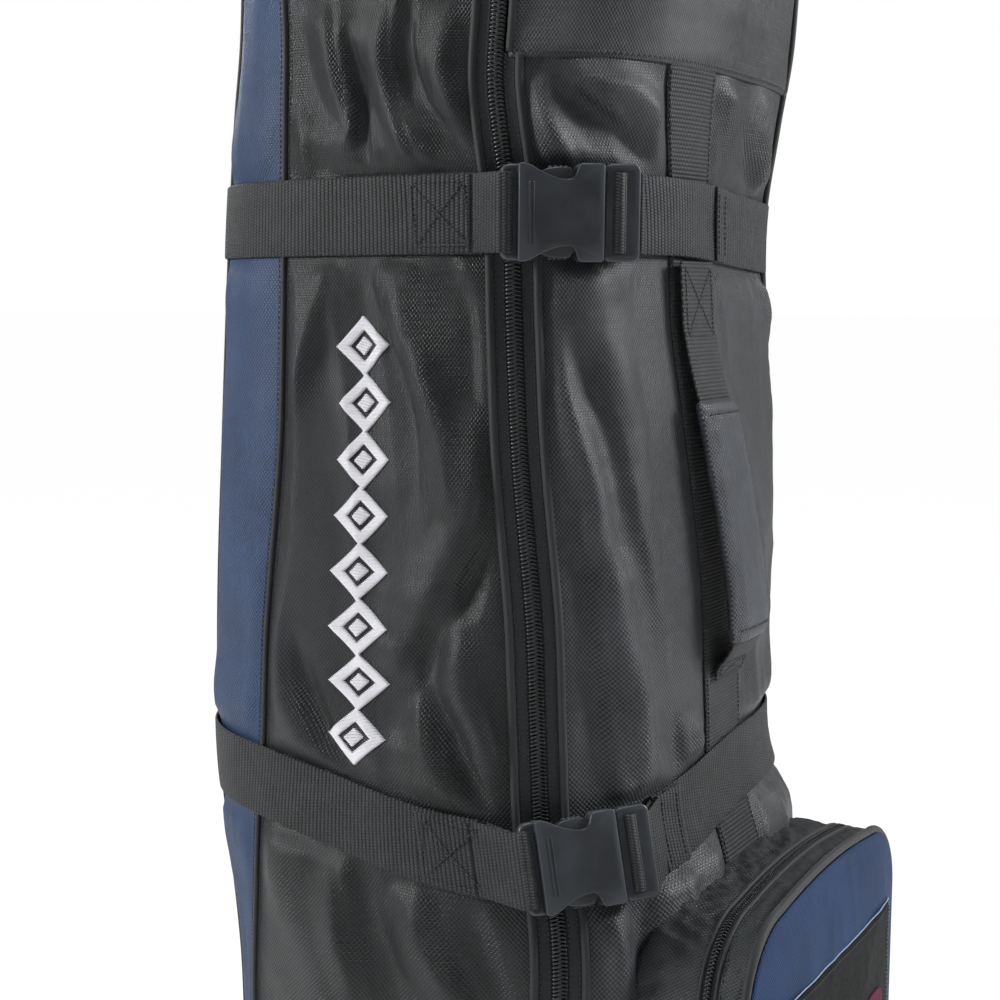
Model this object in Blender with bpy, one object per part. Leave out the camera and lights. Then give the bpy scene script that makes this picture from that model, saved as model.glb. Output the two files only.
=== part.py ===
"""Soft-sided golf travel case that stands upright on its wheeled base.

Metres, +Z up. The origin is on the floor at the centre of the base. The front, with the shoe
pocket and the carry handle, faces -Y. Angles round the case are degrees from +X, so that 270
is the middle of the front and 180 the middle of the left side.
"""

import math

import bmesh
import bpy
from mathutils import Matrix, Vector

# Driving dimensions
DOME_START_Z = 1.122
DOME_TOP_Z = 1.300
WALL_BOTTOM_Z = 0.0985
WALL_TOP_Z = 1.115
HOOD_SEAM_Z = 0.966
SECTION_POWER = 3.0
WALL = 0.003
SEAM_GAP = 0.0004

# Height, half width, half depth and centre y of the case's section
SECTIONS = (
    (WALL_BOTTOM_Z, 0.170, 0.164, 0.0),
    (0.200, 0.186, 0.180, -0.012),
    (0.340, 0.1975, 0.1915, -0.026),
    (0.420, 0.196, 0.190, -0.0155),
    (0.480, 0.1903, 0.1845, 0.0),
    (0.540, 0.1897, 0.184, 0.002),
    (0.620, 0.1897, 0.184, -0.0008),
    (0.720, 0.1857, 0.180, -0.0016),
    (0.800, 0.1813, 0.1758, -0.0008),
    (0.870, 0.1785, 0.1732, -0.0022),
    (0.940, 0.1797, 0.1743, -0.0105),
    (1.000, 0.1805, 0.1751, -0.0191),
    (DOME_START_Z, 0.179, 0.176, -0.024),
)

# Even angles of the seams round the case, in degrees
LEFT_ZIP = 215.0
RIGHT_ZIP = 320.0
LEFT_SEAM = 158.0
LEFT_REAR_SEAM = 133.0
STRIP_ANGLE = 262.0
COIL_HALF_ANGLE = 1.45
TAPE_OUTER_ANGLE = 4.0
HOOD_EDGE_ANGLE = 2.3
SEAM_HALF_ANGLE = 0.62
SEAM_MARGIN = 1.2
ZIP_MARGIN = 4.5
ANGLE_STEP = 6.0

# The soft case sits twisted: at each height, how many degrees the left rear seam, left seam,
# left zip, front strip and right zip stand away from their even angles
TWISTS = (
    (0.0985, 2.0, -8.0, 0.0, 0.0, 0.0),
    (0.316, 4.0, -13.0, -1.0, 0.0, 0.0),
    (0.420, 3.0, -7.0, 2.3, 7.0, 0.0),
    (0.500, 0.0, -1.2, 3.4, 10.5, 0.0),
    (0.600, 0.0, 0.5, 2.0, 6.0, 0.0),
    (0.720, 0.0, 3.0, -0.9, -2.0, -5.0),
    (0.800, 0.0, 3.0, -1.6, -7.0, -10.0),
    (0.870, 0.0, 2.3, -2.6, -8.0, -16.0),
    (0.950, 0.0, 0.4, -7.8, -14.0, -16.0),
    (1.010, 0.0, -2.0, -9.0, -15.0, -16.0),
)

# Webbing and buckles
WEBBING_WIDTH = 0.050
WEBBING_THICKNESS = 0.002
STRAP_LIFT = 0.0022
BUCKLE_LIFT = 0.006
BUCKLE_HALF_WIDTH = 0.0295
PRONG_PIVOT = (0.0195, 0.0165)
# Height, the buckle's angle, the free end's angle, and the depth, angle and spread of the dip
UPPER_STRAP = (0.870, 225.5, 277.0, 0.009, 300.0, 60.0)
LOWER_STRAP = (0.488, 221.0, 240.0, 0.027, 216.0, 70.0)

# Shoe pocket
POCKET_HALF_WIDTH = 0.143
POCKET_BOTTOM_Z = 0.125
POCKET_TOP_Z = 0.426
POCKET_CROWN = 0.006
POCKET_TOP_RADIUS = 0.055
POCKET_BOTTOM_RADIUS = 0.030
POCKET_ZIP_Y = -0.236
POCKET_ZIP_HALF = 0.004
POCKET_FACE_Y = -0.262
POCKET_BORDER = 0.62
FLAP_HINGE_Z = POCKET_BOTTOM_Z - 0.0015
FLAP_HINGE_Y = POCKET_ZIP_Y - POCKET_ZIP_HALF - 0.0005

# Carry handle: x at its two ends, and height against how far it stands off the front
HANDLE_TOP_X = -0.047
HANDLE_BOTTOM_X = 0.003
HANDLE_STANDOFF = (
    (0.556, 0.0045),
    (0.564, 0.0060),
    (0.572, 0.0115),
    (0.580, 0.0165),
    (0.590, 0.0190),
    (0.670, 0.0160),
    (0.742, 0.0105),
    (0.756, 0.0085),
    (0.774, 0.0065),
    (0.800, 0.0048),
)
GRIP_LOW_Z = 0.588
GRIP_HIGH_Z = 0.748
GRIP_HALF_WIDTH = 0.0285
GRIP_HALF_THICKNESS = 0.006

# Wheels and base
WHEEL_X = 0.118
WHEEL_Y = 0.156
WHEEL_Z = 0.046
WHEEL_RADIUS = 0.041
WHEEL_HALF_WIDTH = 0.013
WELL_RADIUS = 0.046
WELL_HALF_WIDTH = 0.016
HOUSING_HALF_WIDTH = 0.026
AXLE_RADIUS = 0.004
TRAY_BOTTOM_Z = 0.012
TRAY_TOP_Z = 0.0975
RUNNER_TOP_Z = 0.0116
RUNNER_X = 0.085

HOOD_PIVOT = (0.0, -0.1955, HOOD_SEAM_Z)
TOP_HANDLE_HALF = 0.062
TOP_HANDLE_RISE = 0.032
TOP_HANDLE_Z = 1.2968


def clear_scene():
    for old in list(bpy.data.objects):
        bpy.data.objects.remove(old)


def material(name, colour, roughness, metallic=0.0):
    made = bpy.data.materials.new(name)
    made.use_nodes = True
    shader = made.node_tree.nodes["Principled BSDF"]
    shader.inputs["Base Color"].default_value = (*colour, 1.0)
    shader.inputs["Roughness"].default_value = roughness
    shader.inputs["Metallic"].default_value = metallic
    return made


def object_of(name, mesh_data, look, matrix=None):
    made = bpy.data.objects.new(name, mesh_data)
    made.data.materials.append(look)
    if matrix is not None:
        made.matrix_world = matrix
    bpy.context.scene.collection.objects.link(made)
    return made


def mesh_of(name, mesh):
    """Closes up coincident points, turns the faces outwards and stores the bmesh."""
    bmesh.ops.remove_doubles(mesh, verts=mesh.verts, dist=1e-6)
    bmesh.ops.recalc_face_normals(mesh, faces=mesh.faces)
    data = bpy.data.meshes.new(name)
    mesh.to_mesh(data)
    mesh.free()
    data.shade_smooth()
    data.set_sharp_from_angle(angle=math.radians(35))
    return data


def pivot_empty(name, place):
    empty = bpy.data.objects.new(name, None)
    empty.empty_display_size = 0.03
    empty.matrix_world = Matrix.Translation(place)
    bpy.context.scene.collection.objects.link(empty)
    return empty


def hang_on(empty, *objects):
    for member in objects:
        member.parent = empty
        member.matrix_parent_inverse = empty.matrix_world.inverted()


# The case's outer surface


def eased(rows, z):
    """The row of a table at height z, on a smooth curve through the stated rows."""
    if z <= rows[0][0]:
        return rows[0][1:]
    if z >= rows[-1][0]:
        return rows[-1][1:]
    k = max(i for i, row in enumerate(rows) if row[0] <= z)
    low, high = rows[k], rows[k + 1]
    before, after = rows[max(k - 1, 0)], rows[min(k + 2, len(rows) - 1)]
    span = high[0] - low[0]
    t = (z - low[0]) / span
    result = []
    for i in range(1, len(low)):
        slope_low = (high[i] - before[i]) / (high[0] - before[0]) * span
        slope_high = (after[i] - low[i]) / (after[0] - low[0]) * span
        value = low[i] * (1.0 + 2.0 * t) * (1.0 - t) ** 2 + slope_low * t * (1.0 - t) ** 2
        value += high[i] * t * t * (3.0 - 2.0 * t) - slope_high * t * t * (1.0 - t)
        result.append(value)
    return tuple(result)


def section_at(z):
    """Half width, half depth and centre y at a height."""
    return eased(SECTIONS, z)


def twisted(angle, z):
    """Where a point at an even angle lies on the twisted case. A seam and its edges turn together."""
    rear, seam, left, strip, right = eased(TWISTS, z)
    first = 180.0 - LEFT_SEAM
    turn = (angle - first) % 360.0 + first
    knots = (
        (first, SEAM_MARGIN, -seam),
        (180.0 - LEFT_REAR_SEAM, SEAM_MARGIN, -rear),
        (90.0, 0.0, 0.0),
        (LEFT_REAR_SEAM, SEAM_MARGIN, rear),
        (LEFT_SEAM, SEAM_MARGIN, seam),
        (LEFT_ZIP, ZIP_MARGIN, left),
        (STRIP_ANGLE, 0.0, strip),
        (RIGHT_ZIP, ZIP_MARGIN, right),
        (first + 360.0, SEAM_MARGIN, -seam),
    )
    for (low, low_margin, low_shift), (high, high_margin, high_shift) in zip(knots, knots[1:]):
        if turn <= high:
            start, end = low + low_margin, high - high_margin
            share = max(0.0, min(1.0, (turn - start) / (end - start)))
            return angle + low_shift + (high_shift - low_shift) * share
    return angle


def section_point(angle, half_width, half_depth, centre_y, z):
    c = math.cos(math.radians(angle))
    s = math.sin(math.radians(angle))
    reach = abs(c / half_width) ** SECTION_POWER + abs(s / half_depth) ** SECTION_POWER
    radius = reach ** (-1.0 / SECTION_POWER)
    return Vector((radius * c, centre_y + radius * s, z))


def wall_point(angle, z, inset=0.0):
    """The point of the wall at an even angle and a height."""
    half_width, half_depth, centre_y = section_at(z)
    return section_point(
        twisted(angle, z), half_width - inset, half_depth - inset, centre_y, z
    )


def dome_point(angle, tilt, inset):
    """A point on the hood's dome, where tilt runs from 0 at the rim to 90 at the top."""
    half_width, half_depth, centre_y = SECTIONS[-1][1:]
    shrink = math.cos(math.radians(tilt)) ** 0.909 if tilt < 90 else 0.0
    rise = math.sin(math.radians(tilt)) ** 0.909
    z = DOME_START_Z + (DOME_TOP_Z - DOME_START_Z - inset) * rise
    if shrink < 1e-6:
        return Vector((0.0, centre_y, z))
    return section_point(
        angle, (half_width - inset) * shrink, (half_depth - inset) * shrink, centre_y, z
    )


def wall_frame(angle, z, lift, slope=0.0):
    """Local axes on the wall: X along the section, rising by slope, and Z outwards."""
    along = wall_point(angle + 3.0, z) - wall_point(angle - 3.0, z)
    rise = wall_point(angle, z + 0.02) - wall_point(angle, z - 0.02)
    outward = along.cross(rise).normalized()
    tangent = Vector((0.0, 0.0, 1.0)).cross(outward).normalized()
    tangent = (tangent + outward.cross(tangent) * slope).normalized()
    turn = Matrix((tangent, outward.cross(tangent), outward)).transposed()
    return Matrix.Translation(wall_point(angle, z) + outward * lift) @ turn.to_4x4()


def front_y(x, z):
    """The y of the case's front surface at x and z."""
    half_width, half_depth, centre_y = section_at(z)
    share = 1.0 - abs(x / half_width) ** SECTION_POWER
    return centre_y - half_depth * share ** (1.0 / SECTION_POWER)


# Solids


def grid_solid(name, outer, inner, look, wrap=False, rims=(True, True)):
    """A closed wall between two grids of points. Each grid is a list of rows of equal length."""
    mesh = bmesh.new()
    sides = []
    for rows in (outer, inner):
        sides.append([[mesh.verts.new(p) for p in row] for row in rows])
    columns = len(outer[0])
    steps = columns if wrap else columns - 1
    for side in sides:
        for low, high in zip(side, side[1:]):
            for i in range(steps):
                k = (i + 1) % columns
                mesh.faces.new((low[i], low[k], high[k], high[i]))
    for wanted, row in zip(rims, (0, -1)):
        if not wanted:
            continue
        for i in range(steps):
            k = (i + 1) % columns
            mesh.faces.new((sides[0][row][i], sides[0][row][k], sides[1][row][k], sides[1][row][i]))
    if not wrap:
        for i in (0, -1):
            for j in range(len(outer) - 1):
                mesh.faces.new((sides[0][j][i], sides[0][j + 1][i], sides[1][j + 1][i], sides[1][j][i]))
    return object_of(name, mesh_of(name, mesh), look)


def prism(name, outline, low, high, look, matrix=None):
    """A closed outline in the local XY plane, extruded from Z low to high."""
    mesh = bmesh.new()
    face = mesh.faces.new([mesh.verts.new((x, y, low)) for x, y in outline])
    raised = bmesh.ops.extrude_face_region(mesh, geom=[face])["geom"]
    moved = [v for v in raised if isinstance(v, bmesh.types.BMVert)]
    bmesh.ops.translate(mesh, verts=moved, vec=(0.0, 0.0, high - low))
    return object_of(name, mesh_of(name, mesh), look, matrix)


def block(name, low, high, look, bevel=0.0, matrix=None):
    mesh = bmesh.new()
    bmesh.ops.create_cube(mesh, size=1.0)
    size = [q - p for p, q in zip(low, high)]
    centre = [(p + q) / 2.0 for p, q in zip(low, high)]
    bmesh.ops.scale(mesh, verts=mesh.verts, vec=size)
    bmesh.ops.translate(mesh, verts=mesh.verts, vec=centre)
    if bevel:
        bmesh.ops.bevel(mesh, geom=mesh.edges[:], offset=bevel, segments=1, affect="EDGES")
    return object_of(name, mesh_of(name, mesh), look, matrix)


def cylinder_x(name, radius, half_length, centre, look, sides=32):
    mesh = bmesh.new()
    turn = Matrix.Translation(centre) @ Matrix.Rotation(math.pi / 2.0, 4, "Y")
    bmesh.ops.create_cone(
        mesh,
        cap_ends=True,
        segments=sides,
        radius1=radius,
        radius2=radius,
        depth=2.0 * half_length,
        matrix=turn,
    )
    return object_of(name, mesh_of(name, mesh), look)


def turned_x(name, profile, centre, look, steps=24):
    """A closed profile of (radius, x) points, spun round the X axis through centre."""
    mesh = bmesh.new()
    points = [mesh.verts.new((x, 0.0, radius)) for radius, x in profile]
    edges = [mesh.edges.new((p, q)) for p, q in zip(points, points[1:] + points[:1])]
    bmesh.ops.spin(
        mesh,
        geom=points + edges,
        cent=(0.0, 0.0, 0.0),
        axis=(1.0, 0.0, 0.0),
        angle=2.0 * math.pi,
        steps=steps,
        use_merge=True,
    )
    return object_of(name, mesh_of(name, mesh), look, Matrix.Translation(centre))


def tube(name, points, radius, look, cyclic=False):
    curve = bpy.data.curves.new(name, "CURVE")
    curve.dimensions = "3D"
    curve.bevel_depth = radius
    curve.bevel_resolution = 1
    curve.use_fill_caps = True
    spline = curve.splines.new("POLY")
    spline.points.add(len(points) - 1)
    for point, place in zip(spline.points, points):
        point.co = (*place, 1.0)
    spline.use_cyclic_u = cyclic
    return object_of(name, curve, look)


def boolean(target, other, operation):
    other.hide_render = True
    other.display_type = "WIRE"
    step = target.modifiers.new(operation.title(), "BOOLEAN")
    step.operation = operation
    step.solver = "EXACT"
    step.object = other


# Walls, seams and zips


def angles_between(start, end, step=ANGLE_STEP):
    inner = [k * step for k in range(math.ceil(start / step), math.floor(end / step) + 1)]
    middle = [a for a in inner if start + 0.4 < a < end - 0.4]
    return [start, *middle, end]


def heights_between(low, high):
    levels = [0.140, 0.200, 0.270, 0.340, 0.380, 0.420, 0.450, 0.480, 0.510, 0.540, 0.580, 0.620]
    levels += [0.670, 0.720, 0.760, 0.800, 0.845, 0.895, 0.940, 0.965, 1.000, 1.060]
    return [low, *[z for z in levels if low + 0.008 < z < high - 0.008], high]


def wall_patch(name, span, heights, insets, look, step=ANGLE_STEP, drop=None):
    """A piece of wall between two angles and two heights, from one inset to another."""
    angles = angles_between(*span, step)
    levels = heights_between(*heights)
    drops = [drop(a) if drop else 0.0 for a in angles]
    sides = []
    for inset in insets:
        sides.append([[wall_point(a, z - d, inset) for a, d in zip(angles, drops)] for z in levels])
    return grid_solid(name, sides[0], sides[1], look)


def panels(looks):
    fabric = looks["black"]
    blue = looks["blue"]
    rise = (WALL_BOTTOM_Z, WALL_TOP_Z)
    skin = (0.0, WALL)
    zip_edge = TAPE_OUTER_ANGLE + 0.2
    seam = SEAM_HALF_ANGLE
    left_side = (LEFT_SEAM + seam, LEFT_ZIP - zip_edge)
    left_stripe = (LEFT_REAR_SEAM + seam, LEFT_SEAM - seam)
    wall_patch("front_panel", (LEFT_ZIP + zip_edge, RIGHT_ZIP - zip_edge),
               (WALL_BOTTOM_Z, HOOD_SEAM_Z - 0.003), skin, fabric)
    wall_patch("side_panel_left", left_side, rise, skin, fabric)
    right_side = (RIGHT_ZIP + zip_edge, 540.0 - LEFT_SEAM - seam)
    wall_patch("side_panel_right", right_side, rise, skin, fabric)
    wall_patch("side_stripe_left", left_stripe, rise, skin, blue)
    wall_patch("side_stripe_right", (180.0 - left_stripe[1], 180.0 - left_stripe[0]), rise, skin, blue)
    wall_patch("back_panel", (180.0 - LEFT_REAR_SEAM + seam, LEFT_REAR_SEAM - seam), rise, skin, fabric)


def pipings(looks):
    levels = heights_between(WALL_BOTTOM_Z, WALL_TOP_Z)
    for name, angle in (("piping_left", LEFT_SEAM), ("piping_right", 180.0 - LEFT_SEAM)):
        tube(name, [wall_point(angle, z, -0.0003) for z in levels], 0.0015, looks["trim"])


def main_zips(looks):
    """The upright zips at the two front corners. The front tape stops at the hood's seam."""
    for side, centre, front in (("left", LEFT_ZIP, 1.0), ("right", RIGHT_ZIP, -1.0)):
        rear_span = sorted(centre - front * a for a in (COIL_HALF_ANGLE + 0.12, TAPE_OUTER_ANGLE))
        front_span = sorted(centre + front * a for a in (COIL_HALF_ANGLE + 0.12, TAPE_OUTER_ANGLE))
        coil_span = (centre - COIL_HALF_ANGLE, centre + COIL_HALF_ANGLE)
        full = (WALL_BOTTOM_Z, WALL_TOP_Z)
        low = (WALL_BOTTOM_Z, HOOD_SEAM_Z - 0.003)
        wall_patch(f"zip_{side}_rear_tape", rear_span, full, (0.0, 0.0014), looks["tape"])
        wall_patch(f"zip_{side}_front_tape", front_span, low, (0.0, 0.0014), looks["tape"])
        wall_patch(f"zip_{side}_coil", coil_span, full, (-0.0012, 0.0018), looks["coil"])


def hood_zip(looks):
    angles = angles_between(RIGHT_ZIP - 360.0 - HOOD_EDGE_ANGLE, LEFT_ZIP + HOOD_EDGE_ANGLE)
    levels = (WALL_TOP_Z + 0.0005, DOME_START_Z - 0.0005)
    outer, inner = ([[wall_point(a, z, i) for a in angles] for z in levels] for i in (-0.001, 0.003))
    grid_solid("hood_zip", outer, inner, looks["coil"])


def linings(looks):
    angles = [12.0 * k for k in range(30)]
    levels = [WALL_BOTTOM_Z + 0.0085, 0.145, 0.200, 0.270, 0.340, 0.400, 0.450, 0.500, 0.560]
    levels += [0.620, 0.690, 0.760, 0.820, 0.870, 0.920, 0.955]
    outer, inner = ([[wall_point(a, z, i) for a in angles] for z in levels] for i in (0.0065, 0.0100))
    grid_solid("body_lining", outer, inner, looks["foam"], wrap=True)
    tilts = (3.0, 20.0, 38.0, 56.0, 74.0, 90.0)
    outer, inner = ([[dome_point(a, t, i) for a in angles] for t in tilts] for i in (0.0065, 0.0105))
    return grid_solid("hood_lining", outer, inner, looks["foam"], wrap=True, rims=(True, False))


def hood(looks):
    angles = [ANGLE_STEP * k for k in range(int(360 / ANGLE_STEP))]
    tilts = (0.0, 8.0, 18.0, 30.0, 45.0, 60.0, 76.0, 90.0)
    outer, inner = ([[dome_point(a, t, i) for a in angles] for t in tilts] for i in (0.0, 0.005))
    crown = grid_solid("hood_crown", outer, inner, looks["black"], wrap=True, rims=(True, False))
    span = (LEFT_ZIP + HOOD_EDGE_ANGLE + 0.2, RIGHT_ZIP - HOOD_EDGE_ANGLE - 0.2)
    apron = wall_patch("hood_front", span, (HOOD_SEAM_Z + 0.003, DOME_START_Z - 0.0005),
                       (0.0, 0.005), looks["black"])
    pivot = pivot_empty("hood_pivot", HOOD_PIVOT)
    hang_on(pivot, crown, apron, linings(looks))
    return pivot


def top_handle(looks, hood_pivot):
    """A webbing grab handle on top of the hood, arched over a line along X it can swing about."""
    pivot = pivot_empty("top_handle_pivot", (0.0, SECTIONS[-1][3], TOP_HANDLE_Z))
    count = 14
    path = []
    for k in range(count + 1):
        turn = math.pi * k / count
        x = -TOP_HANDLE_HALF * math.cos(turn)
        z = TOP_HANDLE_Z + TOP_HANDLE_RISE * math.sin(turn) ** 0.7
        path.append(Vector((x, 0.0, z)))
    outer, inner = [], []
    for k, place in enumerate(path):
        ahead = path[min(k + 1, count)] - path[max(k - 1, 0)]
        lift = Vector((-ahead.z, 0.0, ahead.x)).normalized() * 0.0015
        for rows, sign in ((outer, 1.0), (inner, -1.0)):
            centre = place + lift * sign
            y = SECTIONS[-1][3]
            half = min(0.019, 0.004 + 0.8 * (place.z - TOP_HANDLE_Z))
            rows.append([(centre.x, y - half, centre.z), (centre.x, y + half, centre.z)])
    loop = grid_solid("top_handle", outer, inner, looks["webbing"])
    hang_on(pivot, loop)
    pivot.parent = hood_pivot
    pivot.matrix_parent_inverse = hood_pivot.matrix_world.inverted()


# Straps and buckles


def strap_drop(strap, angle):
    """How far below its stated height a strap runs at an even angle."""
    depth, middle, spread = strap[3:]
    away = (twisted(angle, strap[0]) - middle + 180.0) % 360.0 - 180.0
    if abs(away) >= spread:
        return 0.0
    return depth * math.cos(math.radians(90.0 * away / spread)) ** 2


def straps(looks):
    half = WEBBING_WIDTH / 2.0
    for name, strap in (("upper", UPPER_STRAP), ("lower", LOWER_STRAP)):
        z, angle, tail_angle = strap[:3]
        lift = -STRAP_LIFT
        tail_lift = lift - WEBBING_THICKNESS - SEAM_GAP
        for part, span, low in (
            ("strap", (angle + 4.0, angle + 346.0), lift),
            ("strap_tail", (angle + 8.0, tail_angle), tail_lift),
        ):
            wall_patch(f"{name}_{part}", span, (z - half, z + half), (low - WEBBING_THICKNESS, low),
                       looks["webbing"], drop=lambda a, strap=strap: strap_drop(strap, a))


def buckle_socket(name, place, look):
    w = BUCKLE_HALF_WIDTH
    body = block(name, (-0.033, -w, 0.0), (0.0205, w, 0.0135), look, 0.002, place)
    horns = block(f"{name}_horns", (-0.043, 0.0006 - w, 0.0012), (-0.0305, w - 0.0006, 0.0078), look, 0.0, place)
    slot = block(f"{name}_slot", (-0.0385, -0.0255, -0.01), (-0.0336, 0.0255, 0.03), look, 0.0, place)
    cavity = block(f"{name}_cavity", (-0.029, -0.0272, 0.0024), (0.03, 0.0272, 0.0111), look, 0.0, place)
    windows = block(f"{name}_windows", (-0.010, -0.04, 0.0031), (0.013, 0.04, 0.0104), look, 0.0, place)
    boolean(body, horns, "UNION")
    for cutter in (slot, cavity, windows):
        boolean(body, cutter, "DIFFERENCE")


def buckle_plug(name, place, look):
    w = BUCKLE_HALF_WIDTH
    frame = block(name, (0.0212, -w, 0.0015), (0.043, w, 0.0105), look, 0.0015, place)
    tongue = block(f"{name}_tongue", (-0.012, -0.006, 0.0045), (0.0226, 0.006, 0.009), look, 0.0, place)
    boolean(frame, tongue, "UNION")
    for key, low, high in (("near", 0.0247, 0.0287), ("far", 0.0322, 0.0386)):
        slot = block(f"{name}_{key}_slot", (low, -0.0255, -0.01), (high, 0.0255, 0.03), look, 0.0, place)
        boolean(frame, slot, "DIFFERENCE")
    return frame


def buckle_prong(name, place, side, look):
    """One spring arm, with its origin on the line it bends about."""
    outline = [
        (0.0, -0.004),
        (-0.024, -0.004),
        (-0.0345, -0.0005),
        (-0.0345, 0.004),
        (-0.0275, 0.0098),
        (-0.0125, 0.0098),
        (-0.0095, 0.0045),
        (0.0, 0.004),
    ]
    along, across = PRONG_PIVOT
    spot = place @ Matrix.Translation((along, side * across, 0.0))
    return prism(name, [(x, side * y) for x, y in outline], 0.0035, 0.010, look, spot)


def buckle_frame(strap):
    """Local axes at a strap's buckle: X along the strap, towards the plug, and Z outwards."""
    z, angle = strap[:2]
    ends = [wall_point(a, z - strap_drop(strap, a)) for a in (angle - 6.0, angle + 6.0)]
    run = ends[1] - ends[0]
    slope = run.z / math.hypot(run.x, run.y)
    return wall_frame(angle, z - strap_drop(strap, angle), BUCKLE_LIFT, slope)


def buckles(looks):
    for name, strap in (("upper", UPPER_STRAP), ("lower", LOWER_STRAP)):
        place = buckle_frame(strap)
        buckle_socket(f"{name}_buckle_socket", place, looks["plastic"])
        plug = buckle_plug(f"{name}_buckle_plug", place, looks["plastic"])
        for key, side in (("top", 1.0), ("bottom", -1.0)):
            prong = buckle_prong(f"{name}_buckle_prong_{key}", place, side, looks["plastic"])
            prong.parent = plug
            prong.matrix_parent_inverse = plug.matrix_world.inverted()


# Zip sliders


def slider_and_pull(name, place, look):
    """A slider on the zip's coil, and its pull tab, hinged on a line along the local X axis."""
    body = block(f"{name}_slider", (-0.0056, -0.008, 0.0), (0.0056, 0.008, 0.0035), look, 0.0012, place)
    bridge = block(f"{name}_bridge", (-0.0015, -0.006, 0.003), (0.0015, 0.006, 0.005), look, 0.0, place)
    boolean(body, bridge, "UNION")
    hinge = place @ Matrix.Translation((0.0, 0.0, 0.0068))
    outline = [(-0.003, 0.001), (-0.0045, -0.010), (-0.0045, -0.030), (-0.002, -0.033)]
    outline += [(-x, y) for x, y in reversed(outline)]
    pull = prism(f"{name}_pull", outline, -0.0008, 0.0008, look, hinge)
    pull.parent = body
    pull.matrix_parent_inverse = body.matrix_world.inverted()


def sliders(looks):
    slider_and_pull("main_zip", wall_frame(LEFT_ZIP, 1.100, 0.0020), looks["metal"])
    slider_and_pull("right_zip", wall_frame(RIGHT_ZIP, 1.100, 0.0020), looks["metal"])
    outward = Vector((-1.0, 0.0, 0.0))
    up = Vector((0.0, 0.0, 1.0))
    turn = Matrix((up.cross(outward), up, outward)).transposed().to_4x4()
    spot = (-POCKET_HALF_WIDTH - 0.0018, POCKET_ZIP_Y, 0.190)
    slider_and_pull("pocket_zip", Matrix.Translation(spot) @ turn, looks["metal"])


# Shoe pocket


def arc_points(x, z, radius, start, steps):
    """Points on a quarter circle round (x, z), from an angle in degrees."""
    turns = [math.radians(start + 90.0 * k / steps) for k in range(steps + 1)]
    return [(x + radius * math.cos(t), z + radius * math.sin(t)) for t in turns]


def pocket_outline(inset=0.0):
    """(x, z) points round the pocket: a rounded rectangle whose top edge rises in the middle."""
    low = POCKET_BOTTOM_RADIUS
    top = POCKET_TOP_RADIUS
    side = POCKET_HALF_WIDTH - inset
    half = [(x * (POCKET_HALF_WIDTH - low), POCKET_BOTTOM_Z + inset) for x in (0.15, 0.45, 0.75)]
    half += arc_points(POCKET_HALF_WIDTH - low, POCKET_BOTTOM_Z + low, low - inset, 270.0, 3)
    half += [(side, z) for z in (0.175, 0.205, 0.245, 0.300, 0.340)]
    half += arc_points(POCKET_HALF_WIDTH - top, POCKET_TOP_Z - top, top - inset, 0.0, 6)
    for share in (0.6, 0.2):
        rise = POCKET_CROWN * (1.0 - share * share)
        half.append((share * (POCKET_HALF_WIDTH - top), POCKET_TOP_Z - inset + rise))
    return half + [(-x, z) for x, z in reversed(half)]


def band(name, rear, front, look, inset=0.0):
    """A ring of wall along the pocket's outline. rear and front give y at (x, z)."""
    sides = []
    for depth in (inset, inset + WALL):
        ring = pocket_outline(depth)
        sides.append([[(x, rear(x, z), z) for x, z in ring], [(x, front(x, z), z) for x, z in ring]])
    return grid_solid(name, sides[0], sides[1], look, wrap=True)


def pocket_face(name, shares, look):
    """Part of the pocket's face between two scales of its outline, crowned towards the middle."""
    centre_z = (POCKET_BOTTOM_Z + POCKET_TOP_Z) / 2.0
    ring = pocket_outline()
    sides = []
    for back in (0.0, WALL):
        rows = []
        for share in shares:
            y = POCKET_FACE_Y - 0.0035 - 0.010 * (1.0 - share**2.5) + back
            rows.append([(x * share, y, centre_z + (z - centre_z) * share) for x, z in ring])
        sides.append(rows)
    rims = (True, shares[-1] > 0.0)
    return grid_solid(name, sides[0], sides[1], look, wrap=True, rims=rims)


def shoe_pocket(looks):
    zip_rear = POCKET_ZIP_Y + POCKET_ZIP_HALF
    zip_front = POCKET_ZIP_Y - POCKET_ZIP_HALF
    band("pocket_gusset_inner", lambda x, z: front_y(x, z) - 0.0024,
         lambda x, z: zip_rear + SEAM_GAP, looks["black"])
    band("pocket_zip_coil", lambda x, z: zip_rear, lambda x, z: zip_front, looks["coil"], -0.0010)
    outer = band("pocket_gusset_outer", lambda x, z: zip_front - SEAM_GAP - 0.0004,
                 lambda x, z: POCKET_FACE_Y, looks["black"])
    border = pocket_face("pocket_face_border", (1.0, 0.93, 0.84, 0.73, POCKET_BORDER), looks["blue"])
    middle = pocket_face("pocket_face_centre", (POCKET_BORDER - 0.006, 0.45, 0.25, 0.0), looks["black"])
    path = [(x, POCKET_FACE_Y + 0.001, z) for x, z in pocket_outline(-0.0022)]
    piping = tube("pocket_piping", path, 0.0015, looks["trim"], cyclic=True)
    pivot = pivot_empty("pocket_flap_pivot", (0.0, FLAP_HINGE_Y, FLAP_HINGE_Z))
    hang_on(pivot, outer, border, middle, piping)


# Carry handle


def handle_point(z):
    """The middle of the handle's webbing at a height."""
    low, high = HANDLE_STANDOFF[0][0], HANDLE_STANDOFF[-1][0]
    share = (z - low) / (high - low)
    x = HANDLE_BOTTOM_X + (HANDLE_TOP_X - HANDLE_BOTTOM_X) * share
    return Vector((x, front_y(0.0, z) - eased(HANDLE_STANDOFF, z)[0], z))


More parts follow.
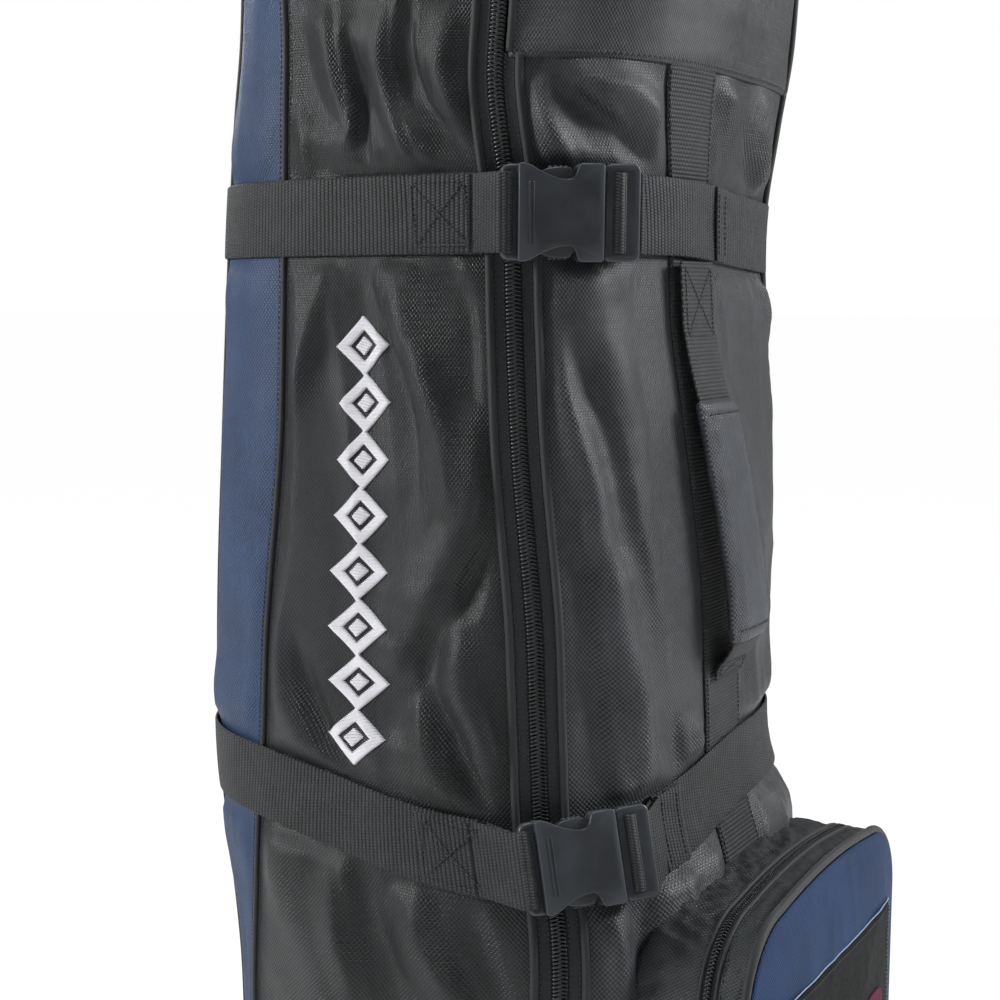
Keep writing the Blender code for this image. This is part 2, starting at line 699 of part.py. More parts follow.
def handle_rows(heights, ring):
    """Rows of points that carry a ring of (x, depth) offsets along the handle."""
    rows = []
    for z in heights:
        ahead = handle_point(z + 0.002) - handle_point(z - 0.002)
        outward = Vector((0.0, -ahead.z, ahead.y)).normalized()
        rows.append([handle_point(z) + Vector((x, 0.0, 0.0)) + outward * d for x, d in ring])
    return rows


def rounded_ring(half_width, half_depth, power, steps=16):
    """Points round a rectangle whose corners are squarer as power falls from 1 to 0."""
    ring = []
    for k in range(steps):
        turn = 2.0 * math.pi * (k + 0.5) / steps
        x = math.copysign(abs(math.cos(turn)) ** power, math.cos(turn)) * half_width
        ring.append((x, math.copysign(abs(math.sin(turn)) ** power, math.sin(turn)) * half_depth))
    return ring


def carry_handle(looks):
    """A webbing loop through a padded sleeve, which pulls out from the front by its slack."""
    ends = (GRIP_LOW_Z, GRIP_LOW_Z + 0.005, 0.630, 0.670, 0.710, GRIP_HIGH_Z - 0.005, GRIP_HIGH_Z)
    heights = sorted({z for z, _ in HANDLE_STANDOFF if not ends[0] < z < ends[-1]} | set(ends))
    half = WEBBING_WIDTH / 2.0
    front = handle_rows(heights, [(-half, 0.0013), (half, 0.0013)])
    back = handle_rows(heights, [(-half, -0.0013), (half, -0.0013)])
    webbing = grid_solid("handle_webbing", front, back, looks["webbing"])
    outer = handle_rows(ends, rounded_ring(GRIP_HALF_WIDTH, GRIP_HALF_THICKNESS, 0.5))
    for row, z in ((outer[0], ends[0]), (outer[-1], ends[-1])):
        row[:] = [p.lerp(handle_point(z), 0.06) for p in row]
    inner = handle_rows(ends, rounded_ring(half + 0.0007, 0.0024, 0.15))
    grip = grid_solid("handle_grip", outer, inner, looks["black"], wrap=True)
    pivot = pivot_empty("carry_handle_pull", handle_point(GRIP_LOW_Z))
    hang_on(pivot, webbing, grip)


def handle_strip(looks):
    """The webbing sewn down the front panel, which the carry handle is stitched to."""
    half_angle = 7.9
    wall_patch("handle_strip", (STRIP_ANGLE - half_angle, STRIP_ANGLE + half_angle),
               (LOWER_STRAP[0] + 0.028, HOOD_SEAM_Z - 0.004), (-0.0016, -0.0004), looks["webbing"])


# Base and wheels


def base_tray(looks):
    """The moulded boot that the fabric is sewn to, notched where the wheel housings sit."""
    angles = [ANGLE_STEP * k for k in range(int(360 / ANGLE_STEP))]
    half_width, half_depth, centre_y = SECTIONS[0][1:]
    outer, inner = [], []
    for rows, floor, inset, levels in (
        (outer, TRAY_BOTTOM_Z, 0.0, ((0.0, 0.0), (0.90, 0.0), (0.965, 0.006), (1.0, 0.018))),
        (inner, TRAY_BOTTOM_Z + 0.004, 0.004, ((0.0, 0.0), (0.90, 0.0), (0.965, 0.006), (1.0, 0.018))),
    ):
        for share, rise in (*levels, (1.0, TRAY_TOP_Z - floor)):
            if share == 0.0:
                rows.append([Vector((0.0, 0.0, floor))] * len(angles))
                continue
            rows.append(
                [
                    section_point(a, (half_width - inset) * share, (half_depth - inset) * share,
                                  centre_y, floor + rise)
                    for a in angles
                ]
            )
    tray = grid_solid("base_tray", outer, inner, looks["plastic"], wrap=True, rims=(False, True))
    for side in (-1.0, 1.0):
        near = side * (WHEEL_X - HOUSING_HALF_WIDTH - 0.0006)
        far = side * 0.30
        low = (min(near, far), WHEEL_Y - 0.0556, -0.1)
        high = (max(near, far), 0.30, 0.30)
        boolean(tray, block(f"tray_notch_{side:+.0f}", low, high, looks["plastic"]), "DIFFERENCE")


def base_board(looks):
    outline = []
    half_width, half_depth, centre_y = section_at(0.103)
    for k in range(40):
        spot = section_point(9.0 * k, half_width - 0.0055, half_depth - 0.0055, centre_y, 0.0)
        outline.append((spot.x, spot.y))
    prism("base_board", outline, 0.1010, 0.1050, looks["board"])


def runners(looks):
    for name, x in (("left", -RUNNER_X), ("centre", 0.0), ("right", RUNNER_X)):
        low = (x - 0.012, -0.118, 0.0)
        high = (x + 0.012, 0.082, RUNNER_TOP_Z)
        block(f"runner_{name}", low, high, looks["plastic"], 0.0025)


def wheel_housing(side, looks):
    x = side[1] * WHEEL_X
    name = f"wheel_housing_{side[0]}"
    low = (x - HOUSING_HALF_WIDTH, WHEEL_Y - 0.055, TRAY_BOTTOM_Z + 0.0005)
    high = (x + HOUSING_HALF_WIDTH, WHEEL_Y + 0.020, TRAY_TOP_Z - 0.001)
    housing = block(name, low, high, looks["plastic"], 0.004)
    centre = (x, WHEEL_Y, WHEEL_Z)
    boolean(housing, cylinder_x(f"{name}_well", WELL_RADIUS, WELL_HALF_WIDTH, centre, looks["plastic"]),
            "DIFFERENCE")
    boolean(housing, cylinder_x(f"{name}_hole", AXLE_RADIUS + 0.0004, 0.05, centre, looks["plastic"], 16),
            "DIFFERENCE")


def wheel(side, looks):
    centre = (side[1] * WHEEL_X, WHEEL_Y, WHEEL_Z)
    rim = 0.0262
    hub_half = [(AXLE_RADIUS + 0.0006, 0.013), (0.010, 0.013), (0.010, 0.006), (0.022, 0.006)]
    hub_half += [(0.022, 0.011), (rim, 0.011)]
    hub = [(r, -x) for r, x in hub_half] + [(r, x) for r, x in reversed(hub_half)]
    turned_x(f"wheel_{side[0]}_hub", hub, centre, looks["hub"])
    tyre_half = [(rim + 0.0004, 0.011), (0.036, 0.0125), (0.0395, 0.0095), (WHEEL_RADIUS, 0.0035)]
    tyre = [(r, -x) for r, x in tyre_half] + [(r, x) for r, x in reversed(tyre_half)]
    turned_x(f"wheel_{side[0]}_tyre", tyre, centre, looks["tyre"])
    reach = HOUSING_HALF_WIDTH + 0.0004
    tip = 0.003 - HOUSING_HALF_WIDTH
    axle = [(0.0, tip), (AXLE_RADIUS, tip), (AXLE_RADIUS, reach), (0.0075, reach)]
    axle += [(0.0075, reach + 0.003), (0.0060, reach + 0.004), (0.0, reach + 0.004)]
    turned_x(f"wheel_{side[0]}_axle", [(r, side[1] * x) for r, x in axle], centre, looks["metal"], 16)


def build():
    clear_scene()
    looks = {
        "black": material("black_nylon", (0.020, 0.022, 0.024), 0.62),
        "blue": material("blue_nylon", (0.030, 0.062, 0.125), 0.66),
        "trim": material("black_trim", (0.012, 0.012, 0.013), 0.7),
        "tape": material("zip_tape", (0.014, 0.015, 0.016), 0.8),
        "coil": material("zip_coil", (0.018, 0.019, 0.020), 0.45),
        "webbing": material("black_webbing", (0.017, 0.018, 0.019), 0.75),
        "plastic": material("black_plastic", (0.022, 0.023, 0.025), 0.42),
        "foam": material("foam_lining", (0.060, 0.062, 0.066), 0.9),
        "board": material("base_board", (0.045, 0.045, 0.047), 0.7),
        "hub": material("wheel_hub", (0.20, 0.21, 0.22), 0.5),
        "tyre": material("wheel_tyre", (0.018, 0.018, 0.018), 0.6),
        "metal": material("black_metal", (0.030, 0.030, 0.032), 0.35, 1.0),
    }
    panels(looks)
    pipings(looks)
    main_zips(looks)
    hood_zip(looks)
    top_handle(looks, hood(looks))
    straps(looks)
    buckles(looks)
    sliders(looks)
    shoe_pocket(looks)
    handle_strip(looks)
    carry_handle(looks)
    base_tray(looks)
    base_board(looks)
    runners(looks)
    for side in (("left", -1.0), ("right", 1.0)):
        wheel_housing(side, looks)
        wheel(side, looks)


build()
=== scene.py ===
import math

import bpy
import numpy as np
from mathutils import Matrix, Vector


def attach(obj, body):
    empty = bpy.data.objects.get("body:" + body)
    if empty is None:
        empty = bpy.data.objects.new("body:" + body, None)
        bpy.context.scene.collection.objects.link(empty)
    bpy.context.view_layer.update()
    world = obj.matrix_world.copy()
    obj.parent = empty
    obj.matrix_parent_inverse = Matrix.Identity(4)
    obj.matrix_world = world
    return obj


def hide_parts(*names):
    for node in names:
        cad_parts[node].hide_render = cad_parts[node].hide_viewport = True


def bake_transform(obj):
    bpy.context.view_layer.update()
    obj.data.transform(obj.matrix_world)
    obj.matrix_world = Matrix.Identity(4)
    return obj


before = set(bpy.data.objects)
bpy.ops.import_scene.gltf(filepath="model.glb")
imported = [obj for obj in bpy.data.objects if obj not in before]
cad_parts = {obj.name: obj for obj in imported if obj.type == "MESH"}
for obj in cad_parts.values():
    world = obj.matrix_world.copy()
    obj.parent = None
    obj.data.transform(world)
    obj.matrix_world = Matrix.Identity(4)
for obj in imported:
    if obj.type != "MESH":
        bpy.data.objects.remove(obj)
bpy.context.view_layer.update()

# ---------------------------------------------------------------- the case's shape, as the part has it
POWER = 3.0
DOME_Z, DOME_TOP, WALL_LOW, SEAM_Z = 1.122, 1.300, 0.0985, 0.966
# Height, half width, half depth and the centre's y
SECTIONS = np.array([
    (0.0985, 0.170, 0.164, 0.0), (0.200, 0.186, 0.180, -0.012), (0.340, 0.1975, 0.1915, -0.026),
    (0.420, 0.196, 0.190, -0.0155), (0.480, 0.1903, 0.1845, 0.0), (0.540, 0.1897, 0.184, 0.002),
    (0.620, 0.1897, 0.184, -0.0008), (0.720, 0.1857, 0.180, -0.0016), (0.800, 0.1813, 0.1758, -0.0008),
    (0.870, 0.1785, 0.1732, -0.0022), (0.940, 0.1797, 0.1743, -0.0105), (1.000, 0.1805, 0.1751, -0.0191),
    (1.122, 0.179, 0.176, -0.024)])
LEFT_ZIP, RIGHT_ZIP, LEFT_SEAM, REAR_SEAM, STRIP = 215.0, 320.0, 158.0, 133.0, 262.0
# Height, and how far each seam has turned there: rear seam, front seam, left zip, strip, right zip
TWISTS = np.array([
    (0.0985, 2.0, -8.0, 0.0, 0.0, 0.0), (0.316, 4.0, -13.0, -1.0, 0.0, 0.0),
    (0.420, 3.0, -7.0, 2.3, 7.0, 0.0), (0.500, 0.0, -1.2, 3.4, 10.5, 0.0),
    (0.600, 0.0, 0.5, 2.0, 6.0, 0.0), (0.720, 0.0, 3.0, -0.9, -2.0, -5.0),
    (0.800, 0.0, 3.0, -1.6, -7.0, -10.0), (0.870, 0.0, 2.3, -2.6, -8.0, -16.0),
    (0.950, 0.0, 0.4, -7.8, -14.0, -16.0), (1.010, 0.0, -2.0, -9.0, -15.0, -16.0)])
# A strap's height, its buckle's angle, its tail's angle, and its sag: depth, centre and half width
UPPER = (0.870, 225.5, 277.0, 0.009, 300.0, 60.0)
LOWER = (0.488, 221.0, 240.0, 0.027, 216.0, 70.0)
STRAP_HALF, STRAP_THICK = 0.025, 0.0017
PANEL_TOP, FRONT_TOP, PANEL_EDGE, PANEL_STEP = 1.1205, 0.9655, 4.35, 0.0027
SIDE_SIZE, SIMULATED_SIZE = 0.0070, 0.004
DOME_LUG, LINING_INSET = 1.2968, 0.0066


def eased(rows, z):
    z = np.clip(np.asarray(z, float), rows[0, 0], rows[-1, 0])
    n = len(rows)
    k = np.clip(np.searchsorted(rows[:, 0], z, side="right") - 1, 0, n - 2)
    lo, hi, be, af = rows[k], rows[k + 1], rows[np.maximum(k - 1, 0)], rows[np.minimum(k + 2, n - 1)]
    span = (hi[..., 0] - lo[..., 0])[..., None]
    t = (z[..., None] - lo[..., :1]) / span
    m0 = (hi - be) / (hi[..., :1] - be[..., :1]) * span
    m1 = (af - lo) / (af[..., :1] - lo[..., :1]) * span
    v = lo * (1 + 2 * t) * (1 - t) ** 2 + m0 * t * (1 - t) ** 2
    return (v + hi * t * t * (3 - 2 * t) - m1 * t * t * (1 - t))[..., 1:]


def twisted(u, z):
    u, z = np.broadcast_arrays(np.asarray(u, float), np.asarray(z, float))
    w = eased(TWISTS, z)
    rear, seam, left, strip, right = (w[..., i] for i in range(5))
    first = 180.0 - LEFT_SEAM
    turn = (u - first) % 360.0 + first
    zero = np.zeros_like(u)
    knots = ((first, 1.2, -seam), (180 - REAR_SEAM, 1.2, -rear), (90.0, 0.0, zero), (REAR_SEAM, 1.2, rear),
             (LEFT_SEAM, 1.2, seam), (LEFT_ZIP, 4.5, left), (STRIP, 0.0, strip), (RIGHT_ZIP, 4.5, right),
             (first + 360.0, 1.2, -seam))
    shift = np.zeros_like(u)
    for (a, am, av), (b, bm, bv) in zip(knots, knots[1:]):
        share = np.clip((turn - a - am) / (b - bm - a - am), 0, 1)
        shift = np.where((turn > a) & (turn <= b), av + (bv - av) * share, shift)
    return u + shift


def section_point(angle, a, b, yc, z):
    c, s = np.cos(np.radians(angle)), np.sin(np.radians(angle))
    r = (np.abs(c / a) ** POWER + np.abs(s / b) ** POWER) ** (-1 / POWER)
    return np.stack(np.broadcast_arrays(r * c, yc + r * s, z), -1)


def wall(u, z, lift=0.0):
    w = eased(SECTIONS, z)
    return section_point(twisted(u, z), w[..., 0] + lift, w[..., 1] + lift, w[..., 2], np.asarray(z, float))


def wall_normal(u, z):
    n = np.cross(wall(u + 0.5, z) - wall(u - 0.5, z), wall(u, z + 0.004) - wall(u, z - 0.004))
    return n / np.linalg.norm(n, axis=-1, keepdims=True)


def dome(angle, tilt, lift=0.0):
    a, b, yc = SECTIONS[-1, 1:]
    t = np.radians(tilt)
    shrink = np.maximum(np.cos(t), 1e-5) ** 0.909
    z = DOME_Z + (DOME_TOP - DOME_Z + lift) * np.sin(t) ** 0.909
    return section_point(angle, (a + lift) * shrink, (b + lift) * shrink, yc, z)


def strap_z(strap, u):
    height, _, _, sag, centre, half = strap
    away = (twisted(u, height) - centre + 180.0) % 360.0 - 180.0
    return height - np.where(np.abs(away) < half, sag * np.cos(np.radians(90 * away / half)) ** 2, 0.0)


def front_y(x, z):
    w = eased(SECTIONS, z)
    return w[..., 2] - w[..., 1] * (1 - np.abs(x / w[..., 0]) ** POWER) ** (1 / POWER)


def lengths(p, axis=0):
    d = np.linalg.norm(np.diff(p, axis=axis), axis=-1)
    return np.concatenate([np.zeros_like(np.take(d, [0], axis=axis)), np.cumsum(d, axis=axis)], axis=axis)


def noise(x, y, seed=0):
    """Smooth value noise, the same on every run."""
    rng = np.random.default_rng(seed)
    table = rng.random((64, 64))
    xi, yi = np.floor(x).astype(int), np.floor(y).astype(int)
    fx, fy = x - xi, y - yi
    fx, fy = fx * fx * (3 - 2 * fx), fy * fy * (3 - 2 * fy)
    g = lambda i, j: table[(xi + i) % 64, (yi + j) % 64]
    low = g(0, 0) * (1 - fx) + g(1, 0) * fx
    high = g(0, 1) * (1 - fx) + g(1, 1) * fx
    return (low * (1 - fy) + high * fy) * 2 - 1


# ---------------------------------------------------------------- camera and light
def look_at(obj, spot, target):
    obj.location = spot
    obj.rotation_euler = (Vector(target) - Vector(spot)).to_track_quat("-Z", "Y").to_euler()


LENS, SENSOR, CAMERA_REACH, CAMERA_HEIGHT = 57.6, 36.0, 1.195, 0.82
CAMERA_SPIN, CAMERA_TILT = math.radians(31.0), math.radians(-7.3)
# name, place, target, size in metres, power in watts
LIGHTS = (
    ("key", (1.3, -2.3, 1.9), (0, -0.1, 0.75), 0.8, 76),
    ("side", (-1.9, 2.1, 1.7), (-0.15, 0, 0.75), 0.6, 62),
    ("rim", (1.4, 2.2, 2.0), (0, 0, 0.8), 1.2, 26),
    ("top", (-0.5, -0.4, 3.2), (0, 0, 0.8), 1.0, 26),
)
WORLD_FILL, FLOOR_GLOW, FLOOR_GLOW_SHARE, FLOOR_HALF = 0.20, 1.10, 0.88, 60.0


def set_stage():
    """Puts the camera where the photograph was taken from, with soft studio lights and a pale floor."""
    scene = bpy.context.scene
    cam = bpy.data.objects.new("camera", bpy.data.cameras.new("camera"))
    scene.collection.objects.link(cam)
    x, y, level = math.cos(CAMERA_SPIN), math.sin(CAMERA_SPIN), math.cos(CAMERA_TILT)
    spot = Vector((-CAMERA_REACH * x, -CAMERA_REACH * y, CAMERA_HEIGHT))
    ahead = Vector((x * level, y * level, math.sin(CAMERA_TILT)))
    look_at(cam, spot, spot + ahead)
    cam.data.lens, cam.data.sensor_width, cam.data.clip_start = LENS, SENSOR, 0.02
    scene.camera = cam
    for name, spot, target, size, power in LIGHTS:
        light = bpy.data.lights.new(name, "AREA")
        light.size, light.energy = size, power
        lamp = bpy.data.objects.new(name, light)
        scene.collection.objects.link(lamp)
        look_at(lamp, spot, target)
    world = bpy.data.worlds.new("studio")
    world.use_nodes = True
    nodes, links = world.node_tree.nodes, world.node_tree.links
    nodes.clear()
    out, mix, fill, seen, ray = (nodes.new("ShaderNode" + kind) for kind in (
        "OutputWorld", "MixShader", "Background", "Background", "LightPath"))
    fill.inputs[0].default_value, fill.inputs[1].default_value = (0.97, 0.98, 1.0, 1), WORLD_FILL
    seen.inputs[0].default_value, seen.inputs[1].default_value = (1, 1, 1, 1), 1.0
    for a, b in ((ray.outputs["Is Camera Ray"], mix.inputs[0]), (fill.outputs[0], mix.inputs[1]),
                 (seen.outputs[0], mix.inputs[2]), (mix.outputs[0], out.inputs[0])):
        links.new(a, b)
    scene.world = world
    scene.view_settings.view_transform = "Standard"
    x = np.linspace(-FLOOR_HALF, FLOOR_HALF, 9)
    points = np.stack([*np.meshgrid(x, x), np.zeros((9, 9))], -1)
    floor = make_mesh("studio_floor", points, grid_faces(9, 9))
    floor.data.materials.append(floor_look())


def floor_look():
    """White paper: it shows nearly white from anywhere, and lights the case only softly."""
    g = Graph("studio_white")
    ray = g.node("LightPath").outputs["Is Camera Ray"]
    glow = g.node("Emission", (1, 1, 1, 1), FLOOR_GLOW)
    mix = g.node("MixShader", g.math("MULTIPLY", ray, FLOOR_GLOW_SHARE), g.shader.outputs[0], glow.outputs[0])
    g.links.new(mix.outputs[0], g.nodes["Material Output"].inputs[0])
    return g.finish((0.85, 0.85, 0.85), 0.9)


# ---------------------------------------------------------------- materials
def linear(v):
    """A linear value from a 0 to 255 screen value."""
    return ((v / 255 + 0.055) / 1.055) ** 2.4 if v > 10 else v / 255 / 12.92


class Graph:
    """Short calls for building a node graph."""

    def __init__(self, name):
        self.made = bpy.data.materials.new(name)
        self.made.use_nodes = True
        self.nodes, self.links = self.made.node_tree.nodes, self.made.node_tree.links
        self.shader = self.nodes["Principled BSDF"]

    def node(self, kind, *inputs, **settings):
        made = self.nodes.new("ShaderNode" + kind)
        for key, value in settings.items():
            setattr(made, key, value)
        for i, value in enumerate(inputs):
            self.put(made.inputs[i], value)
        return made

    def put(self, socket, value):
        if value is None:
            return
        if isinstance(value, bpy.types.NodeSocket):
            self.links.new(value, socket)
        else:
            socket.default_value = value

    def math(self, operation, a, b=None, c=None):
        return self.node("Math", a, b, c, operation=operation).outputs[0]

    def uv(self):
        made = self.node("UVMap", uv_map="UVMap")
        split = self.node("SeparateXYZ", made.outputs[0])
        return made.outputs[0], split.outputs[0], split.outputs[1]

    def wave(self, value, pitch, phase=0.0):
        return self.math("SINE", self.math("MULTIPLY_ADD", value, 2 * math.pi / pitch, phase))

    def noise(self, vector, scale, detail=2.0, rough=0.5):
        made = self.node("TexNoise", noise_dimensions="3D")
        self.put(made.inputs["Vector"], vector)
        made.inputs["Scale"].default_value = scale
        made.inputs["Detail"].default_value = detail
        made.inputs["Roughness"].default_value = rough
        return made.outputs[0]

    def ramp(self, value, low, high, to_low=0.0, to_high=1.0, smooth=True):
        made = self.node("MapRange", interpolation_type="SMOOTHSTEP" if smooth else "LINEAR")
        for i, v in enumerate((value, low, high, to_low, to_high)):
            self.put(made.inputs[i], v)
        return made.outputs[0]

    def blend(self, factor, *colours):
        """A mix of two colours given as 0 to 255 screen values."""
        made = self.node("Mix", data_type="RGBA")
        self.put(made.inputs[0], factor)
        for socket, colour in zip((made.inputs[6], made.inputs[7]), colours):
            socket.default_value = (*(linear(v) for v in colour), 1)
        return made.outputs[2]

    def bump(self, height, strength, distance, normal=None):
        made = self.node("Bump")
        made.inputs["Strength"].default_value = strength
        made.inputs["Distance"].default_value = distance
        self.put(made.inputs["Height"], height)
        self.put(made.inputs["Normal"], normal)
        return made.outputs[0]

    def finish(self, colour=None, roughness=None, normal=None, **constants):
        self.put(self.shader.inputs["Base Color"], (*colour, 1) if isinstance(colour, tuple) else colour)
        self.put(self.shader.inputs["Roughness"], roughness)
        self.put(self.shader.inputs["Normal"], normal)
        for key, value in constants.items():
            self.shader.inputs[key.replace("_", " ")].default_value = value
        return self.made


def dobby(name, dark, light, rough=0.52, sheen=0.25, across=0.0024, rows=0.0034, shine=0.45):
    """Nylon with small raised dots in staggered rows, over a fine plain weave. The dots are painted paler, a
    painted highlight.
    """
    g = Graph(name)
    vector, x, y = g.uv()
    place = g.node("NewGeometry").outputs["Position"]
    dots = g.math("MULTIPLY", g.wave(x, across), g.wave(y, rows))
    spot = g.ramp(dots, -0.35, 0.45)
    fine = g.math("MULTIPLY", g.wave(x, 0.0008), g.wave(y, 0.0008))
    cloud = g.ramp(g.noise(place, 14.0, 4.0, 0.55), 0.3, 0.72)
    worn = g.ramp(g.noise(place, 160.0, 3.0, 0.6), 0.35, 0.8)
    shade = g.math("MULTIPLY_ADD", cloud, 0.22, g.math("MULTIPLY", worn, 0.18))
    # shade: real colour variation from cloud and worn, plus a painted highlight on the raised dots (spot).
    shade = g.math("MULTIPLY_ADD", spot, 0.60, shade)
    height = g.math("MULTIPLY_ADD", spot, 1.0, g.math("MULTIPLY", fine, 0.10))
    normal = g.bump(height, 0.7, 0.0005)
    roughness = g.math("MULTIPLY_ADD", spot, -0.12, g.math("MULTIPLY_ADD", worn, 0.10, rough))
    return g.finish(g.blend(shade, dark, light), roughness, normal,
                    Sheen_Weight=sheen * 0.2, Sheen_Roughness=0.4, Specular_IOR_Level=shine)


def webbing(name, dark, light, rib_pitch=0.0032, pick_pitch=0.0020):
    """Ribbed webbing: rounded ribs across the width, each broken into staggered picks. Its colour follows
    their height: painted shade in the grooves and a painted highlight on the tops.
    """
    g = Graph(name)
    vector, across, along = g.uv()
    place = g.node("NewGeometry").outputs["Position"]
    rib = g.math("ABSOLUTE", g.wave(along, rib_pitch * 2))
    column = g.math("FLOOR", g.math("DIVIDE", along, rib_pitch))
    stagger = g.math("MULTIPLY", column, math.pi)
    pick = g.math("SINE", g.math("MULTIPLY_ADD", across, 2 * math.pi / pick_pitch, stagger))
    pick = g.ramp(pick, -0.8, 0.6)
    height = g.math("MULTIPLY", g.math("POWER", rib, 0.7), g.math("MULTIPLY_ADD", pick, 0.65, 0.35))
    worn = g.ramp(g.noise(place, 90.0, 3.0, 0.6), 0.3, 0.8)
    # Colour from height: painted shade in the grooves and a painted highlight on the rib tops; worn is real
    # wear.
    shade = g.math("MULTIPLY_ADD", height, 0.75, g.math("MULTIPLY", worn, 0.25))
    return g.finish(g.blend(shade, dark, light), g.math("MULTIPLY_ADD", height, -0.1, 0.68),
                    g.bump(height, 1.0, 0.0011), Sheen_Weight=0.05, Sheen_Roughness=0.5)


def twill(name, dark, light, pitch=0.0016, rough=0.72):
    """Zip tape: a fine herringbone, painted darker in its grooves as painted shade."""
    g = Graph(name)
    vector, x, y = g.uv()
    zig = g.math("PINGPONG", x, 0.004)
    line = g.wave(g.math("ADD", y, zig), pitch)
    shade = g.ramp(line, -0.7, 0.7)
    # The herringbone's colour follows its bump: painted shade in the grooves.
    return g.finish(g.blend(shade, dark, light), rough, g.bump(shade, 0.5, 0.0003), Sheen_Weight=0.12,
                    Sheen_Roughness=0.5)


def threads(name, dark, light, pitch=0.0011, rough=0.6, sheen=0.15):
    """Wound or corded cloth, as on piping and binding, painted darker between the cords as painted shade."""
    g = Graph(name)
    vector, x, y = g.uv()
    line = g.ramp(g.wave(g.math("ADD", x, y), pitch), -0.8, 0.8)
    # The colour follows the cords' bump: painted shade between them.
    return g.finish(g.blend(line, dark, light), rough, g.bump(line, 0.4, 0.0002), Sheen_Weight=sheen,
                    Sheen_Roughness=0.5)


def moulded(name, dark, light, rough, grain=900.0, depth=0.00025, metallic=0.0, wear=0.3):
    """Textured plastic or coated metal, a little paler and smoother in patches where hands have rubbed it,
    and paler on sharp convex edges as a painted highlight.
    """
    g = Graph(name)
    place = g.node("TexCoord").outputs["Object"]
    fine = g.noise(place, grain, 2.0)
    rub = g.ramp(g.noise(place, 22.0, 4.0, 0.6), 0.42, 0.75)
    edge = g.ramp(g.node("NewGeometry").outputs["Pointiness"], 0.50, 0.56)
    # edge: a painted highlight along sharp convex edges; rub: real wear in patches.
    shade = g.math("MAXIMUM", g.math("MULTIPLY", rub, wear), g.math("MULTIPLY", edge, 0.55))
    roughness = g.math("MULTIPLY_ADD", fine, 0.16, g.math("MULTIPLY_ADD", rub, -0.05, rough - 0.08))
    return g.finish(g.blend(shade, dark, light), roughness, g.bump(fine, 0.35, depth), Metallic=metallic)


def quilted(name, dark, light):
    """Foam-backed lining with a diamond of stitch lines, painted dark along the stitched hollows as painted
    shade.
    """
    g = Graph(name)
    vector, x, y = g.uv()
    a, b = (g.math("ABSOLUTE", g.wave(g.math(op, x, y), 0.11)) for op in ("ADD", "SUBTRACT"))
    puff = g.math("POWER", g.math("MULTIPLY", a, b), 0.35)
    # puff sets the colour: painted shade in the stitched hollows, paler on the puffs.
    return g.finish(g.blend(puff, dark, light), 0.85, g.bump(puff, 0.9, 0.004),
                    Sheen_Weight=0.3, Sheen_Roughness=0.5)


# ---------------------------------------------------------------- pieces
def make_mesh(name, verts, faces, uvs=None, look=None, smooth=True):
    mesh = bpy.data.meshes.new(name)
    verts = np.asarray(verts, float).reshape(-1, 3)
    mesh.from_pydata(verts.tolist(), [], [tuple(int(i) for i in f) for f in faces])
    if uvs is not None:
        uvs = np.asarray(uvs, float).reshape(-1, 2)
        layer = mesh.uv_layers.new(name="UVMap")
        loops = np.empty(len(mesh.loops), int)
        mesh.loops.foreach_get("vertex_index", loops)
        layer.data.foreach_set("uv", uvs[loops].ravel())
    if smooth:
        mesh.shade_smooth()
    mesh.update()
    made = bpy.data.objects.new(name, mesh)
    bpy.context.scene.collection.objects.link(made)
    if look:
        mesh.materials.append(LOOK[look])
    return made


def grid_faces(rows, cols, wrap=False, base=0, flip=False):
    i, j = np.meshgrid(np.arange(rows - 1), np.arange(cols if wrap else cols - 1), indexing="ij")
    a, b = i * cols + j, i * cols + (j + 1) % cols
    quads = np.stack([a, b, b + cols, a + cols], -1).reshape(-1, 4) + base
    return quads[:, ::-1] if flip else quads


def grid_normals(points, wrap=False):
    if wrap:
        du = np.roll(points, -1, 1) - np.roll(points, 1, 1)
    else:
        du = np.gradient(points, axis=1)
    n = np.cross(du, np.gradient(points, axis=0))
    return n / np.maximum(np.linalg.norm(n, axis=-1, keepdims=True), 1e-12)


def shell(name, points, look, thick=0.0012, wrap=False, uvs=None, inner=None):
    """A closed sheet: the grid of points is its outer face. Rows run up and columns run round."""
    rows, cols = points.shape[:2]
    n = rows * cols
    if inner is None:
        inner = points - grid_normals(points, wrap) * thick
    j = np.arange(cols if wrap else cols - 1)
    k, top = (j + 1) % cols, n - cols
    faces = [grid_faces(rows, cols, wrap), grid_faces(rows, cols, wrap, n, True),
             np.stack([j, j + n, k + n, k], -1), np.stack([top + j, top + k, top + k + n, top + j + n], -1)]
    if not wrap:
        i = np.arange(rows - 1) * cols
        e = i + cols - 1
        faces += [np.stack([i, i + cols, i + cols + n, i + n], -1),
                  np.stack([e, e + n, e + cols + n, e + cols], -1)]
    both = np.concatenate([points.reshape(-1, 3), inner.reshape(-1, 3)])
    return make_mesh(name, both, np.concatenate(faces), np.concatenate([uvs.reshape(-1, 2)] * 2), look)


def sweep(name, path, ring_of, look, closed=False, uvs=None):
    """A solid swept along a path. ring_of(i) gives the ring's points round path[i]."""
    path = np.asarray(path, float)
    rings = np.array([ring_of(i) for i in range(len(path))])
    rows, cols = rings.shape[:2]
    if uvs is None:
        uvs = np.stack(np.broadcast_arrays(lengths(path)[:, None], lengths(rings[0])), -1)
    if closed:
        faces = grid_faces(rows + 1, cols, True) % (rows * cols)
    else:
        faces = grid_faces(rows, cols, True).tolist() + grid_ends(rows, cols)
    return make_mesh(name, rings, faces, uvs, look)


def grid_ends(rows, cols):
    """The two faces that close a wrapped grid's ends."""
    return [list(range(cols))[::-1], [(rows - 1) * cols + i for i in range(cols)]]


